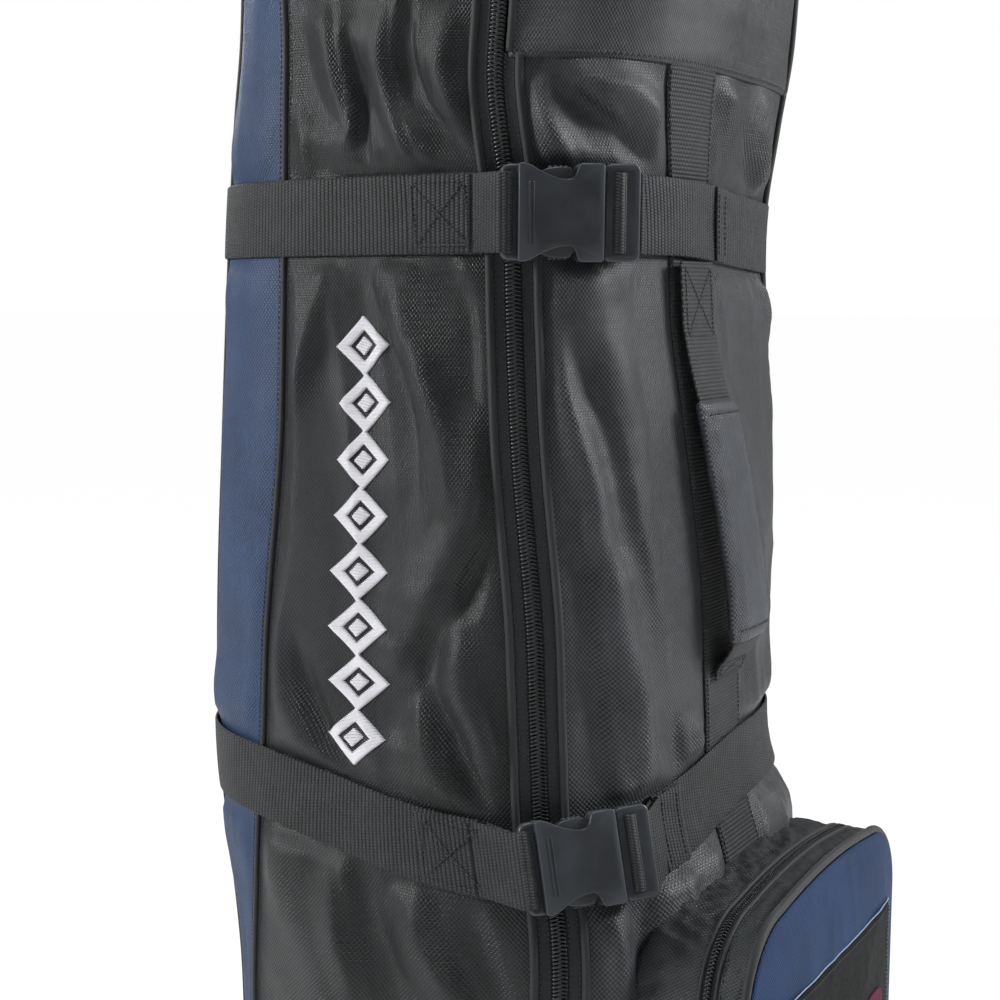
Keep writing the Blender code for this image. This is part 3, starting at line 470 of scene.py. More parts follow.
def tangents(path, closed=False):
    t = np.roll(path, -1, 0) - np.roll(path, 1, 0) if closed else np.gradient(path, axis=0)
    return t / np.linalg.norm(t, axis=-1, keepdims=True)


def tube(name, path, normals, radius, look, closed=False, sides=8):
    t = tangents(path, closed)
    side = np.cross(t, normals)
    side /= np.linalg.norm(side, axis=-1, keepdims=True)
    out = np.cross(side, t)
    turns = np.linspace(0, 2 * math.pi, sides, endpoint=False)
    c, s = np.cos(turns)[:, None], np.sin(turns)[:, None]
    return sweep(name, path, lambda i: path[i] + radius * (c * side[i] + s * out[i]), look, closed)


THREAD_LIFT = 0.0001
# A webbing's outline, as shares of its half width and half thickness
BAND = np.array([(-1, -0.6), (-0.985, 0.4), (-0.95, 0.9), (-0.5, 1), (0, 1), (0.5, 1),
                 (0.95, 0.9), (0.985, 0.4), (1, -0.6), (0.97, -1), (0, -1), (-0.97, -1)])


def band(name, path, normals, width, thick, look):
    """Webbing along a path, with its face towards the normals."""
    t = tangents(path)
    side = np.cross(t, normals)
    side /= np.linalg.norm(side, axis=-1, keepdims=True)
    out = np.cross(side, t)
    ring = lambda i: path[i] + side[i] * BAND[:, :1] * width[i] / 2 + out[i] * BAND[:, 1:] * thick / 2
    return sweep(name, path, ring, look)


def sample(at, along, points):
    """Points on a path at some distances along it."""
    return np.stack([np.interp(at, along, points[:, i]) for i in range(3)], -1)


def pegs(spots, first, second, sizes, base=0, flip=False):
    """Rounded pegs of five rings of six points each: their points and faces."""
    turns = np.linspace(0, 2 * math.pi, 6, endpoint=False)[:, None, None, None]
    around = np.cos(turns) * first + np.sin(turns) * second
    verts = np.transpose(spots + around * sizes[None, :, None], (1, 2, 0, 3)).reshape(-1, 3)
    ends = [end[::-1] if flip else end for end in grid_ends(5, 6)]
    cell = grid_faces(5, 6, True, 0, flip).tolist() + ends
    return verts, [[v + base + 30 * k for v in face] for k in range(len(spots)) for face in cell]


def stitches(name, path, normals, look, pitch=0.0034, length=0.0024, radius=0.00036):
    """A line of sewing thread: one short rounded stitch after another along a path."""
    along = lengths(path)
    count = max(1, int(along[-1] / pitch))
    starts = np.arange(count) * pitch + (along[-1] - count * pitch + pitch - length) / 2
    shares = np.array([0.0, 0.12, 0.5, 0.88, 1.0])
    sizes = np.array([0.25, 0.9, 1.0, 0.9, 0.25])
    spots, n = (np.stack([sample(starts + s * length, along, v) for s in shares], 1) for v in (path, normals))
    n /= np.linalg.norm(n, axis=-1, keepdims=True)
    t = np.gradient(spots, axis=1)
    t /= np.maximum(np.linalg.norm(t, axis=-1, keepdims=True), 1e-12)
    arch = np.sin(np.pi * shares)[None, :, None] * n * radius * 0.9
    verts, faces = pegs(spots + arch + n * THREAD_LIFT, np.cross(t, n), n, radius * sizes)
    return make_mesh(name, verts, faces, np.zeros((len(verts), 2)), look)


def on_wall(us, zs, lift):
    us, zs = np.broadcast_arrays(np.asarray(us, float), np.asarray(zs, float))
    n = wall_normal(us, zs)
    return wall(us, zs) + n * np.broadcast_to(lift, us.shape)[..., None], n


def place(obj, body, slot=None, *nodes):
    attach(obj, body)
    if nodes:
        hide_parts(*nodes)
    return obj


# ---------------------------------------------------------------- the looks
LOOK = {
    # The side and front looks are one black nylon in two copies: the side look is darker, painted shade, and
    # the front look is paler, painted light.
    "side": dobby("nylon_black_painted_shade", (4, 5, 5), (46, 50, 52), 0.40),
    "front": dobby("nylon_black_painted_lit", (12, 14, 15), (80, 84, 88), 0.42, 0.35),
    "blue": dobby("nylon_blue", (13, 31, 62), (58, 87, 128), 0.52, 0.1),
    "border": dobby("nylon_border", (9, 24, 52), (40, 74, 120), 0.62, 0.04, shine=0.2),
    "gusset": dobby("nylon_gusset", (12, 14, 15), (60, 65, 68), 0.52, 0.2),
    "centre": dobby("nylon_centre", (3, 4, 4), (30, 33, 34), 0.66, 0.02, shine=0.12),
    "trim": threads("cloth_binding", (12, 13, 14), (34, 37, 40), 0.0009),
    "tape": twill("tape_twill", (22, 25, 27), (48, 52, 55)),
    "grip": dobby("nylon_grip", (20, 22, 26), (90, 95, 103), 0.48, 0.3),
    "coil": moulded("coil_nylon", (14, 16, 17), (60, 64, 66), 0.30, 1500.0, 0.0001),
    "webbing": webbing("webbing_ribbed", (1, 2, 2), (60, 64, 66)),
    "strip": webbing("webbing_cross_ribbed", (1, 2, 2), (58, 62, 65), 0.0026, 0.0018),
    "plastic": moulded("buckle_acetal", (38, 41, 45), (84, 89, 95), 0.38),
    "base": moulded("base_moulding", (24, 26, 28), (66, 69, 72), 0.46, 600.0, 0.0005),
    "thread": threads("sewing_thread", (20, 22, 24), (58, 62, 65), 0.0006),
    "pale_thread": threads("pale_thread", (96, 118, 150), (160, 178, 200), 0.0006),
    "white_thread": threads("satin_thread", (232, 230, 240), (255, 255, 255), 0.0007, 0.42),
    "maroon": dobby("burgundy_patch", (72, 16, 42), (112, 34, 70), 0.66, 0.02, shine=0.12),
    "foam": quilted("lining_quilted", (50, 52, 56), (98, 102, 108)),
    "board": moulded("board_fibre", (40, 41, 43), (76, 78, 82), 0.62, 300.0, 0.0006),
    "hub": moulded("hub_moulding", (96, 100, 104), (150, 154, 158), 0.42),
    "tyre": moulded("tyre_rubber", (20, 20, 21), (54, 54, 55), 0.55, 700.0, 0.0005),
    "metal": moulded("pull_metal", (40, 42, 44), (110, 114, 118), 0.30, 1200.0, 0.0001, 1.0),
}


def repaint(look, *nodes):
    for name in nodes:
        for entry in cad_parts[name].material_slots:
            entry.material = LOOK[look]


# ---------------------------------------------------------------- wrinkles
def fold(x, y, seed, sharp=1.4):
    """Long soft creases: narrow ridges between wide valleys."""
    return (1 - np.abs(noise(x, y, seed))) ** sharp * 2 - 1


def strap_pinch(u, z):
    """1 on a strap's line, falling to 0 away from it, and the swell just above and below it."""
    pinch, swell = np.zeros(np.broadcast(u, z).shape), np.zeros(np.broadcast(u, z).shape)
    for strap in (UPPER, LOWER):
        off = np.abs(z - strap_z(strap, u))
        pinch = np.maximum(pinch, np.clip(1 - (off - STRAP_HALF) / 0.012, 0, 1))
        swell = np.maximum(swell, np.exp(-((off - 0.052) / 0.022) ** 2))
    return pinch, swell


# Single creases: height and half width in mm, and the line each follows in angle and height
FOLDS = (
    (5.5, 10, ((171.7, 1.003), (174, 0.962), (178.1, 0.924))),
    (-4, 9, ((178, 0.98), (181.3, 0.943), (182.5, 0.905))),
    (6, 10, ((189.4, 1.002), (187.5, 0.966), (192.9, 0.922), (196.4, 0.897))),
    (-4.5, 10, ((194.8, 0.994), (194.9, 0.965), (201.5, 0.932), (209.4, 0.899))),
    (6, 10, ((205, 0.992), (204.3, 0.957), (210.3, 0.928), (212.2, 0.908))),
    (-4.5, 10, ((201.5, 0.84), (205.7, 0.805), (207.7, 0.755))),
    (6.5, 11, ((189.9, 0.833), (196.1, 0.779), (200.8, 0.736), (201.6, 0.692))),
    (-4, 9, ((183, 0.836), (188.3, 0.792), (193.6, 0.741), (196, 0.691))),
    (5, 10, ((171.2, 0.841), (166.2, 0.797), (163.1, 0.738))),
    (6, 11, ((208.4, 0.743), (205, 0.68), (196.3, 0.627), (189.2, 0.586))),
    (-4.5, 11, ((208.4, 0.68), (203.3, 0.629), (195.1, 0.581), (190.9, 0.54))),
    (6, 11, ((200.7, 0.628), (203.3, 0.577), (208.3, 0.507))),
    (-4.5, 9, ((196.3, 0.601), (200.3, 0.544), (205.8, 0.49))),
    (5, 10, ((192.2, 0.587), (195.7, 0.535), (200.1, 0.492))),
    (5, 12, ((159.5, 0.642), (162, 0.588), (167.1, 0.534), (174.5, 0.504))),
    (-4, 9, ((165.6, 0.589), (169.9, 0.55), (178.2, 0.51))),
    (5.5, 10, ((175, 0.437), (178, 0.397), (180.4, 0.35))),
    (-4, 9, ((183.7, 0.436), (186, 0.398), (189.6, 0.352))),
    (6, 11, ((192.9, 0.43), (194.5, 0.398), (200.2, 0.363))),
    (-4, 9, ((201.4, 0.426), (203.3, 0.398), (205.9, 0.367))),
    (-4.5, 11, ((224.8, 0.798), (231.3, 0.742), (233.4, 0.678), (236.9, 0.611))),
    (6.5, 14, ((235, 0.817), (242, 0.734), (245.6, 0.661), (251.6, 0.581))),
    (-4.5, 9, ((222.9, 0.743), (223.8, 0.668), (224.4, 0.577), (225.8, 0.497))),
    (5.5, 9, ((222.2, 0.817), (224.1, 0.761), (226.8, 0.692), (228.8, 0.628))),
    (6, 10, ((227.9, 0.635), (231.8, 0.567), (232.8, 0.498))),
    (-4.5, 10, ((234.5, 0.626), (240.5, 0.561), (241.6, 0.504))),
    (5, 9, ((241.9, 0.587), (247.4, 0.548), (250.8, 0.502))),
    (-4.5, 12, ((225.8, 0.961), (233.4, 0.932), (244.5, 0.905))),
    (6, 11, ((223.3, 0.943), (225.7, 0.92), (227.8, 0.902))),
    (5.5, 12, ((238.6, 0.956), (248.1, 0.934), (250.6, 0.905))),
    (-4, 10, ((286.2, 0.937), (290.9, 0.919), (296.9, 0.893))),
    (5, 10, ((274, 0.965), (280.4, 0.936), (287.3, 0.905))),
    (6, 10, ((222.4, 0.434), (224.3, 0.405), (225.2, 0.374))),
    (-4, 8, ((229.3, 0.433), (228.5, 0.409), (227.6, 0.382))),
)


def crease_relief(u, z):
    """The creases' height, in metres, where each fades out to its ends."""
    u, z = np.broadcast_arrays(u, z)
    x = np.radians(u) * 0.185 + 0.003 * noise(z * 30.0, u * 0.1, 5)
    total = np.zeros(u.shape)
    for height, width, line in FOLDS:
        line = catmull(np.array([(math.radians(a) * 0.185, b, 0.0) for a, b in line]), 10)[::-1]
        bottom, top = line[0, 1], line[-1, 1]
        share = np.clip((z - bottom + 0.012) / (top - bottom + 0.024), 0, 1)
        run = np.gradient(line[:, 0], line[:, 1])
        lean = np.interp(z, line[:, 1], run)
        off = (x - np.interp(z, line[:, 1], line[:, 0])) / np.sqrt(1 + lean * lean)
        wide = width * 0.001 * np.where(off < 0, 1.7, 0.85) * (0.8 + 0.4 * share)
        total += 1.7 * height * 0.001 * np.sin(math.pi * share) ** 0.8 * np.exp(-np.abs(off / wide) ** 1.7)
    return total


def relief(u, z, low, high, size, slant, seed):
    """How far the cloth stands off the wall, in metres, over a panel between two seams."""
    share = (u - low) / (high - low)
    edge = np.clip(np.minimum(share, 1 - share) * (high - low) / 5.0, 0, 1)
    edge = edge * edge * (3 - 2 * edge)
    x = np.radians(u) * 0.185
    pinch, swell = strap_pinch(u, z)
    lean = x + slant * (z - 0.6) + 0.012 * noise(z * 4.0, x * 3.0, seed + 5)
    long_folds = fold(lean * 15.0, z * 2.2, seed, 1.8) * 0.66
    long_folds = long_folds + fold(lean * 30.0, z * 3.6, seed + 1, 1.6) * 0.22
    cross = fold(lean * 9.0 + z * 12.0, z * 6.0 - lean * 4.0, seed + 2, 2.0) * 0.16
    small = noise(lean * 60.0, z * 14.0, seed + 3) * 0.06
    gathers = fold(x * 46.0, z * 5.0, seed + 6, 1.0) * 0.40
    near = np.clip(1 - np.abs(np.abs(z - strap_z(UPPER, u)) - 0.045) / 0.05, 0, 1)
    near = np.maximum(near, np.clip(1 - np.abs(np.abs(z - strap_z(LOWER, u)) - 0.045) / 0.05, 0, 1))
    height = size * (long_folds + cross + small + gathers * near) + 0.0022 * swell
    creases = crease_relief(u, z)
    quiet = 1 - 0.6 * np.clip(np.abs(creases) / 0.003, 0, 1)
    height = (height * quiet + creases + 0.0012) * edge * (1 - pinch)
    across = np.clip((np.abs(u - STRIP) - 9.0) / 5.0, 0, 1)
    flat = np.clip((np.abs((u - STRIP) * 0.0032 + 0.02) - 0.045) / 0.03, 0, 1)
    beside = np.clip(np.minimum(z - 0.515, 0.88 - z) / 0.035, 0, 1)
    beside = beside * beside * (3 - 2 * beside)
    held = across * (1 - beside * (1 - flat))
    on_front = (u > LEFT_ZIP) & (u < RIGHT_ZIP)
    ends = np.clip((0.9655 - z) / 0.016, 0, 1) * np.clip((z - 0.0985) / 0.016, 0, 1)
    return np.where(on_front & (z < 0.966), (height * held - 0.0004 * (1 - held)) * ends, height)


SETTLED = {}
CLOTH_STEP, CLOTH_FRAMES, CLOTH_LIMIT = 0.0062, 14, 0.0034


def let_buckle(points, held, spread=0.018):
    """Cloth cut a little larger than its frame and held at some points buckles in between."""
    rows, cols = points.shape[:2]
    made = make_mesh("buckling_cloth", points, grid_faces(rows, cols))
    group = made.vertex_groups.new(name="held")
    group.add([int(i) for i in np.flatnonzero(held.ravel())], 1.0, "REPLACE")
    cloth = made.modifiers.new("cloth", "CLOTH")
    cloth.settings.quality, cloth.settings.mass = 6, 0.2
    cloth.settings.tension_stiffness = cloth.settings.compression_stiffness = 15
    cloth.settings.shear_stiffness, cloth.settings.bending_stiffness = 4, 0.15
    cloth.settings.vertex_group_mass = "held"
    cloth.settings.shrink_min = -spread
    cloth.settings.effector_weights.gravity = 0.25
    cloth.collision_settings.use_collision = False
    cloth.point_cache.frame_end = CLOTH_FRAMES
    for frame_number in range(1, CLOTH_FRAMES + 1):
        bpy.context.scene.frame_set(frame_number)
    result = made.evaluated_get(bpy.context.evaluated_depsgraph_get()).data
    moved = np.empty(rows * cols * 3)
    result.vertices.foreach_get("co", moved)
    bpy.data.objects.remove(made)
    bpy.context.scene.frame_set(1)
    return moved.reshape(points.shape)


def settle_panel(key, low, high, bottom, top, size, slant, seed):
    """Runs the cloth for one panel and keeps how far it moved along the wall's normal."""
    cols, rows = int((high - low) * 0.0033 / CLOTH_STEP) + 2, int((top - bottom) / CLOTH_STEP) + 2
    us, zs = np.linspace(low, high, cols), np.linspace(bottom, top, rows)
    u, z = np.meshgrid(us, zs)
    start, n = on_wall(u, z, 0.12 * relief(u, z, low, high, size, slant, seed))
    held = np.zeros(u.shape, bool)
    held[[0, -1]] = held[:, [0, -1]] = True
    held |= strap_pinch(u, z)[0] > 0.6
    if low > LEFT_ZIP and high < RIGHT_ZIP:
        held |= np.abs(u - STRIP) < 10.0
        held |= (np.abs((u - STRIP) * 0.0032 + 0.02) < 0.05) & (z > 0.52) & (z < 0.87)
        held |= (z < 0.43) & (np.abs(u - 270) < 48)
    off = ((let_buckle(start, held) - start) * n).sum(-1)
    off = CLOTH_LIMIT * np.tanh(off / CLOTH_LIMIT)
    off = np.where(off < 0, 0.35 * off, off)
    for axis in (0, 1):
        off = (np.roll(off, 1, axis) + 2 * off + np.roll(off, -1, axis)) / 4
    SETTLED[key] = (us, zs, np.where(held, 0.0, off))


def settled(key, u, z):
    """The kept movement at any angle and height, smoothly read from its grid."""
    if key not in SETTLED:
        return np.zeros(np.broadcast(u, z).shape)
    us, zs, off = SETTLED[key]
    a = np.clip((u - us[0]) / (us[1] - us[0]), 0, len(us) - 1.001)
    b = np.clip((z - zs[0]) / (zs[1] - zs[0]), 0, len(zs) - 1.001)
    i, j = a.astype(int), b.astype(int)
    total = 0.0
    for di in range(-1, 3):
        for dj in range(-1, 3):
            weight = cubic(a - i - di) * cubic(b - j - dj)
            total = total + weight * off[np.clip(j + dj, 0, len(zs) - 1), np.clip(i + di, 0, len(us) - 1)]
    return total


def cloth_lift(key, u, z, *shape):
    """A panel's whole height over the wall. Deep hollows are kept clear of the lining."""
    lift = relief(u, z, *shape) + settled(key, u, z)
    return np.where(lift < -0.005, 0.5 * lift - 0.0025, lift)


def cubic(t):
    """The cubic B-spline's weight at a distance."""
    t = np.abs(t)
    return np.where(t < 1, 2 / 3 - t * t + t**3 / 2, np.where(t < 2, (2 - t) ** 3 / 6, 0.0))


def panel(name, node, low, high, look, size, slant, seed):
    """One piece of cloth. Only a panel with large wrinkles is simulated."""
    top = FRONT_TOP if look == "front" else PANEL_TOP
    mid = float(np.hypot(*(wall(high, 0.6) - wall(low, 0.6))[:2]))
    cols, rows = max(12, int(mid * 1.1 / PANEL_STEP)), int((top - WALL_LOW) / (PANEL_STEP * 1.15))
    u, z = np.meshgrid(np.linspace(low, high, cols), np.linspace(WALL_LOW, top, rows))
    if size > SIMULATED_SIZE:
        settle_panel(name, low, high, WALL_LOW, top, size, slant, seed)
    points, _ = on_wall(u, z, cloth_lift(name, u, z, low, high, size, slant, seed))
    across = (u - low) * math.radians(1) * 0.19
    made = shell(name, points, look, 0.0014, uvs=np.stack([across, z], -1))
    return place(made, "case", "blue_fabric" if look == "blue" else "black_fabric", node)


def wall_line(u, bottom, top, lift, steps=260):
    return on_wall(u, np.linspace(bottom, top, steps), lift)


def build_panels():
    """The body's cloth, from seam to seam, and the pipings on its seams."""
    left, right, front = LEFT_SEAM + 0.5, 539.5 - LEFT_SEAM, LEFT_ZIP + PANEL_EDGE
    # name, node, first and last angle, look, wrinkle height, slant and seed
    # The front cloth takes the paler front look: painted light on the same black nylon as the side cloths.
    cloths = (
        ("side_cloth_left", "side_panel_left", left, LEFT_ZIP - PANEL_EDGE, "side", SIDE_SIZE, 0.16, 11),
        ("side_cloth_right", "side_panel_right", RIGHT_ZIP + PANEL_EDGE, right, "side", 0.0085, -0.14, 31),
        ("front_cloth", "front_panel", front, RIGHT_ZIP - PANEL_EDGE, "front", 0.0052, 0.22, 51),
        ("stripe_left", "side_stripe_left", REAR_SEAM + 0.4, LEFT_SEAM - 0.5, "blue", 0.0026, 0.1, 71),
        ("stripe_right", "side_stripe_right", right - 359.0, 179.6 - REAR_SEAM, "blue", 0.0026, 0.1, 81),
        ("back_cloth", "back_panel", 180.5 - REAR_SEAM, REAR_SEAM - 0.5, "side", 0.0055, 0.1, 91),
    )
    for name, node, low, high, look, size, slant, seed in cloths:
        made = panel(name, node, low, high, look, size, slant, seed)
    for side, seam, rear in (("left", LEFT_SEAM, REAR_SEAM), ("right", 180 - LEFT_SEAM, 180 - REAR_SEAM)):
        path, n = wall_line(seam, WALL_LOW, PANEL_TOP, 0.0006)
        piping = tube(f"seam_piping_{side}", path, n, 0.0021, "trim", sides=10)
        place(piping, "case", "trim", f"piping_{side}")
        path, n = wall_line(rear, WALL_LOW, PANEL_TOP, 0.0002)
        place(tube(f"rear_piping_{side}", path, n, 0.0019, "trim"), "case", "trim")
        for key, off in (("front", 1.3), ("back", -1.3)):
            path, n = wall_line(seam + off * (1 if side == "left" else -1), WALL_LOW, PANEL_TOP, 0.0006, 400)
            place(stitches(f"seam_stitch_{side}_{key}", path, n, "thread"), "case")


# ---------------------------------------------------------------- zips
def teeth(name, path, normals, sides, look, pitch=0.0025, reach=0.0050, radius=0.00092):
    """A coil's two rows of teeth, meeting in the middle."""
    along = lengths(path)
    count = int(along[-1] / pitch)
    shares = np.array([-0.32, -0.1, 0.5, 0.9, 1.05]) * reach
    sizes, arch = np.array([0.35, 0.95, 1.0, 0.95, 0.3]), np.array([0.0, 0.35, 0.5, 0.1, -0.5]) * radius
    verts, faces = [], []
    for half, phase in ((1, 0.25), (-1, 0.75)):
        a = (np.arange(count) + phase) * pitch
        c, n, s = (sample(a, along, v) for v in (path, normals, sides))
        s *= half
        t = np.cross(n, s)
        lean = np.array([0.0, 0.1, 0.35, 0.6, 0.7])[None, :, None] * t[:, None] * pitch * 0.8 * half
        spots = c[:, None] + s[:, None] * shares[None, :, None] + n[:, None] * arch[None, :, None] + lean
        v, f = pegs(spots, t[:, None], n[:, None], sizes * radius, len(verts) * count * 30, half < 0)
        verts.append(v)
        faces += f
    return make_mesh(name, np.concatenate(verts), faces, np.zeros((count * 60, 2)), look)


def wall_tape(name, low, high, top, lift, look):
    u, z = np.meshgrid(np.linspace(low, high, 7), np.linspace(WALL_LOW, top, 300))
    points, _ = on_wall(u, z, lift)
    across = (u - low) * math.radians(1) * 0.185
    return shell(name, points, look, 0.0008, uvs=np.stack([across, z], -1))


def build_zips():
    for side, centre, front in (("left", LEFT_ZIP, 1), ("right", RIGHT_ZIP, -1)):
        for key, toward, top in (("rear", -front, PANEL_TOP), ("front", front, FRONT_TOP)):
            a, b = sorted((centre + toward * 1.25, centre + toward * 4.1))
            tape = wall_tape(f"zip_{side}_{key}_cloth", a, b, top, 0.0003, "tape")
            place(tape, "case", "zip_tape", f"zip_{side}_{key}_tape")
            path, n = wall_line(centre + toward * 4.3, WALL_LOW, top, 0.0014)
            place(tube(f"zip_{side}_{key}_piping", path, n, 0.0027, "trim", sides=12), "case", "trim")
            for k, off in enumerate((3.25, 1.75)):
                path, n = wall_line(centre + toward * off, WALL_LOW, top, 0.0005, 400)
                place(stitches(f"zip_{side}_{key}_stitch_{k}", path, n, "thread"), "case")
        path, n = wall_line(centre, WALL_LOW, PANEL_TOP, 0.0012, 420)
        sides = np.cross(n, tangents(path))
        base = wall_tape(f"zip_{side}_coil_bed", centre - 1.3, centre + 1.3, PANEL_TOP, 0.0002, "coil")
        place(base, "case", "zip_coil", f"zip_{side}_coil")
        place(teeth(f"zip_{side}_teeth", path, n, sides, "coil"), "case", "zip_coil")


# ---------------------------------------------------------------- hood
def build_hood():
    """The hood's front apron, its dome, and the zip round its rim."""
    low, high = LEFT_ZIP + 2.35, RIGHT_ZIP - 2.35
    heights = np.concatenate([np.linspace(0.9625, 0.972, 8), np.linspace(0.9745, PANEL_TOP, 52)])
    u, z = np.meshgrid(np.linspace(low, high, 130), heights)
    lift = relief(u, z, low, high, 0.0040, 0.2, 121) * np.clip((z - 0.972) / 0.03, 0, 1)
    lift += 0.0019 * np.clip((0.990 - z) / 0.02, 0, 1) - 0.0007 * np.clip((0.9645 - z) / 0.002, 0, 1)
    points, _ = on_wall(u, z, lift + 0.0002)
    # The apron takes the paler front look: painted light on the side's black nylon.
    apron = shell("hood_front_cloth", points, "front", 0.0016, uvs=np.stack([u * 0.0033, z], -1))
    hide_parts("hood_front")
    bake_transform(apron)
    path, n = on_wall(np.linspace(low + 1.2, high - 1.2, 300), SEAM_Z, 0.0021)
    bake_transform(stitches("hood_seam_stitch", path, n, "thread", 0.0042, 0.0030, 0.00042))
    for side, centre, front in (("left", LEFT_ZIP, 1), ("right", RIGHT_ZIP, -1)):
        path, n = wall_line(centre + front * 2.5, SEAM_Z, PANEL_TOP, 0.0012, 60)
        edge = tube(f"hood_piping_{side}", path, n, 0.0026, "trim", sides=12)
        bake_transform(edge)
    a, t = np.meshgrid(np.linspace(0, 360, 241)[:-1], np.linspace(0.2, 89.0, 60))
    turn, tilt = np.radians(a), np.radians(t)
    ridge = np.exp(-((np.abs((a - 90) % 180 - 90)) / 1.6) ** 2) * np.cos(tilt) ** 0.3
    puff = 0.003 * np.sin(tilt * 2) + 0.0022 * fold(np.cos(turn) * 5 + 9, np.sin(turn) * 5 + t / 16, 141)
    puff = puff * np.clip(t / 14, 0, 1) * np.clip((76 - t) / 26, 0, 1) - 0.0008 * np.clip((t - 62) / 8, 0, 1)
    points = dome(a, t)
    points = points + (dome(a, t, 0.001) - points) * (puff - 0.0012 * ridge)[..., None] * 1000
    uvs = np.stack([a * 0.003 * np.cos(tilt), t * 0.0035], -1)
    out = grid_normals(points, True)
    if (out[20, 0] * (points[20, 0] - points.mean((0, 1)))).sum() < 0:
        out = -out
    crown = closed_dome("hood_crown_cloth", points, points - out * 0.0016, "side", uvs, 0.0004)
    place(crown, "hood", "black_fabric", "hood_crown")
    a = np.linspace(0, 360, 361)[:-1]
    for name, tilt, r in (("hood_rim_piping", 1.2, 0.0024), ("hood_top_piping", 58.0, 0.0018)):
        path = dome(a, np.full(360, tilt), 0.0008)
        n = dome(a, np.full(360, tilt), 0.01) - path
        place(tube(name, path, n, r, "trim", True, 10), "hood", "trim")
    ends = (RIGHT_ZIP - 362.3, LEFT_ZIP + 2.3)
    path, n = on_wall(np.linspace(*ends, 500), 1.1188, 0.0012)
    u, z = np.meshgrid(np.linspace(*ends, 240), np.linspace(1.1157, 1.1214, 5))
    points, _ = on_wall(u, z, 0.0002)
    tape = shell("hood_zip_cloth", points, "tape", 0.001, uvs=np.stack([u * 0.0033, z], -1))
    place(tape, "case", "zip_coil", "hood_zip")
    coil = teeth("hood_zip_teeth", path, n, np.cross(n, tangents(path)), "coil", reach=0.0030)
    place(coil, "case", "zip_coil")
    build_top_handle()


def closed_dome(name, points, inner, look, uvs, rise=0.0):
    """A dome and its inner face: rows rise to a small cap at the top."""
    rows, cols = points.shape[:2]
    n = rows * cols
    caps = [points[-1].mean(0) + (0, 0, rise), inner[-1].mean(0)]
    verts = np.concatenate([points.reshape(-1, 3), inner.reshape(-1, 3), caps])
    j = np.arange(cols)
    k, top = (j + 1) % cols, n - cols
    faces = grid_faces(rows, cols, True).tolist() + grid_faces(rows, cols, True, n, True).tolist()
    faces += np.stack([j, j + n, k + n, k], -1).tolist()
    faces += np.stack([top + j, top + k, np.full(cols, 2 * n)], -1).tolist()
    faces += np.stack([top + n + k, top + n + j, np.full(cols, 2 * n + 1)], -1).tolist()
    return make_mesh(name, verts, faces, np.concatenate([uvs.reshape(-1, 2)] * 2 + [[[0, 0.3]] * 2]), look)


def top_handle_arch(turn):
    """The grab handle's arch over the dome: its points, normals and heights."""
    x, z = -0.062 * np.cos(turn), DOME_LUG + 0.032 * np.sin(turn) ** 0.7
    path = np.stack([x, np.full(len(turn), -0.024), z], -1)
    t = tangents(path)
    return path, np.stack([-t[:, 2], t[:, 1], t[:, 0]], -1), z


def build_top_handle():
    path, n, z = top_handle_arch(np.linspace(0, math.pi, 90))
    width = np.minimum(0.038, 0.010 + 1.6 * (z - DOME_LUG))
    webbing = band("top_handle_webbing", path, n, width, 0.0024, "webbing")
    place(webbing, "top_handle", "webbing", "top_handle")
    path, n, _ = top_handle_arch(np.linspace(0.36, 0.64, 40) * math.pi)
    ring, side = superellipse(0.0205, 0.0042, 0.45, 28), np.array([0, 1.0, 0])
    grow = 1 - 0.35 * np.abs(np.linspace(-1, 1, 40)) ** 14
    around = lambda i: path[i] + side * ring[:, :1] * grow[i] + n[i] * ring[:, 1:] * grow[i]
    # The sleeve takes the paler front look: painted light on the side's black nylon.
    sleeve = sweep("top_handle_sleeve", path, around, "front")
    place(sleeve, "top_handle", "black_fabric")


def superellipse(half_x, half_y, power, steps):
    turn = 2 * np.pi * (np.arange(steps) + 0.5) / steps
    c, s = np.cos(turn), np.sin(turn)
    return np.stack([np.sign(c) * np.abs(c) ** power * half_x, np.sign(s) * np.abs(s) ** power * half_y], -1)


# ---------------------------------------------------------------- straps and buckles
def catmull(points, steps=12):
    p = np.asarray(points, float)
    p = np.concatenate([2 * p[:1] - p[1:2], p, 2 * p[-1:] - p[-2:-1]])
    t = np.linspace(0, 1, steps, endpoint=False)[:, None]
    out = []
    for a, b, c, d in zip(p, p[1:], p[2:], p[3:]):
        out.append(0.5 * (2 * b + (c - a) * t + (2 * a - 5 * b + 4 * c - d) * t**2
                          + (3 * b - 3 * c + d - a) * t**3))
    return np.concatenate([*out, p[-2:-1]])


def strap_band(name, strap, us, lift, wave=0.0):
    """Webbing laid on the wall, following the strap's line, between angles."""
    v = BAND[:, 0] * STRAP_HALF
    h = BAND[:, 1] * STRAP_THICK / 2
    z0 = strap_z(strap, us)[:, None]
    ripple = wave * noise(np.radians(us)[:, None] * 9.0, v[None, :] * 18.0, 7)
    rings, _ = on_wall(np.broadcast_to(us[:, None], (len(us), len(v))), z0 + v, lift + h + ripple)
    along = lengths(rings[:, 3])
    uvs = np.stack(np.broadcast_arrays(v[None, :], along[:, None]), -1)
    rows, cols = rings.shape[:2]
    faces = grid_faces(rows, cols, True).tolist() + grid_ends(rows, cols)
    return fix_normals(make_mesh(name, rings, faces, uvs, "webbing"))


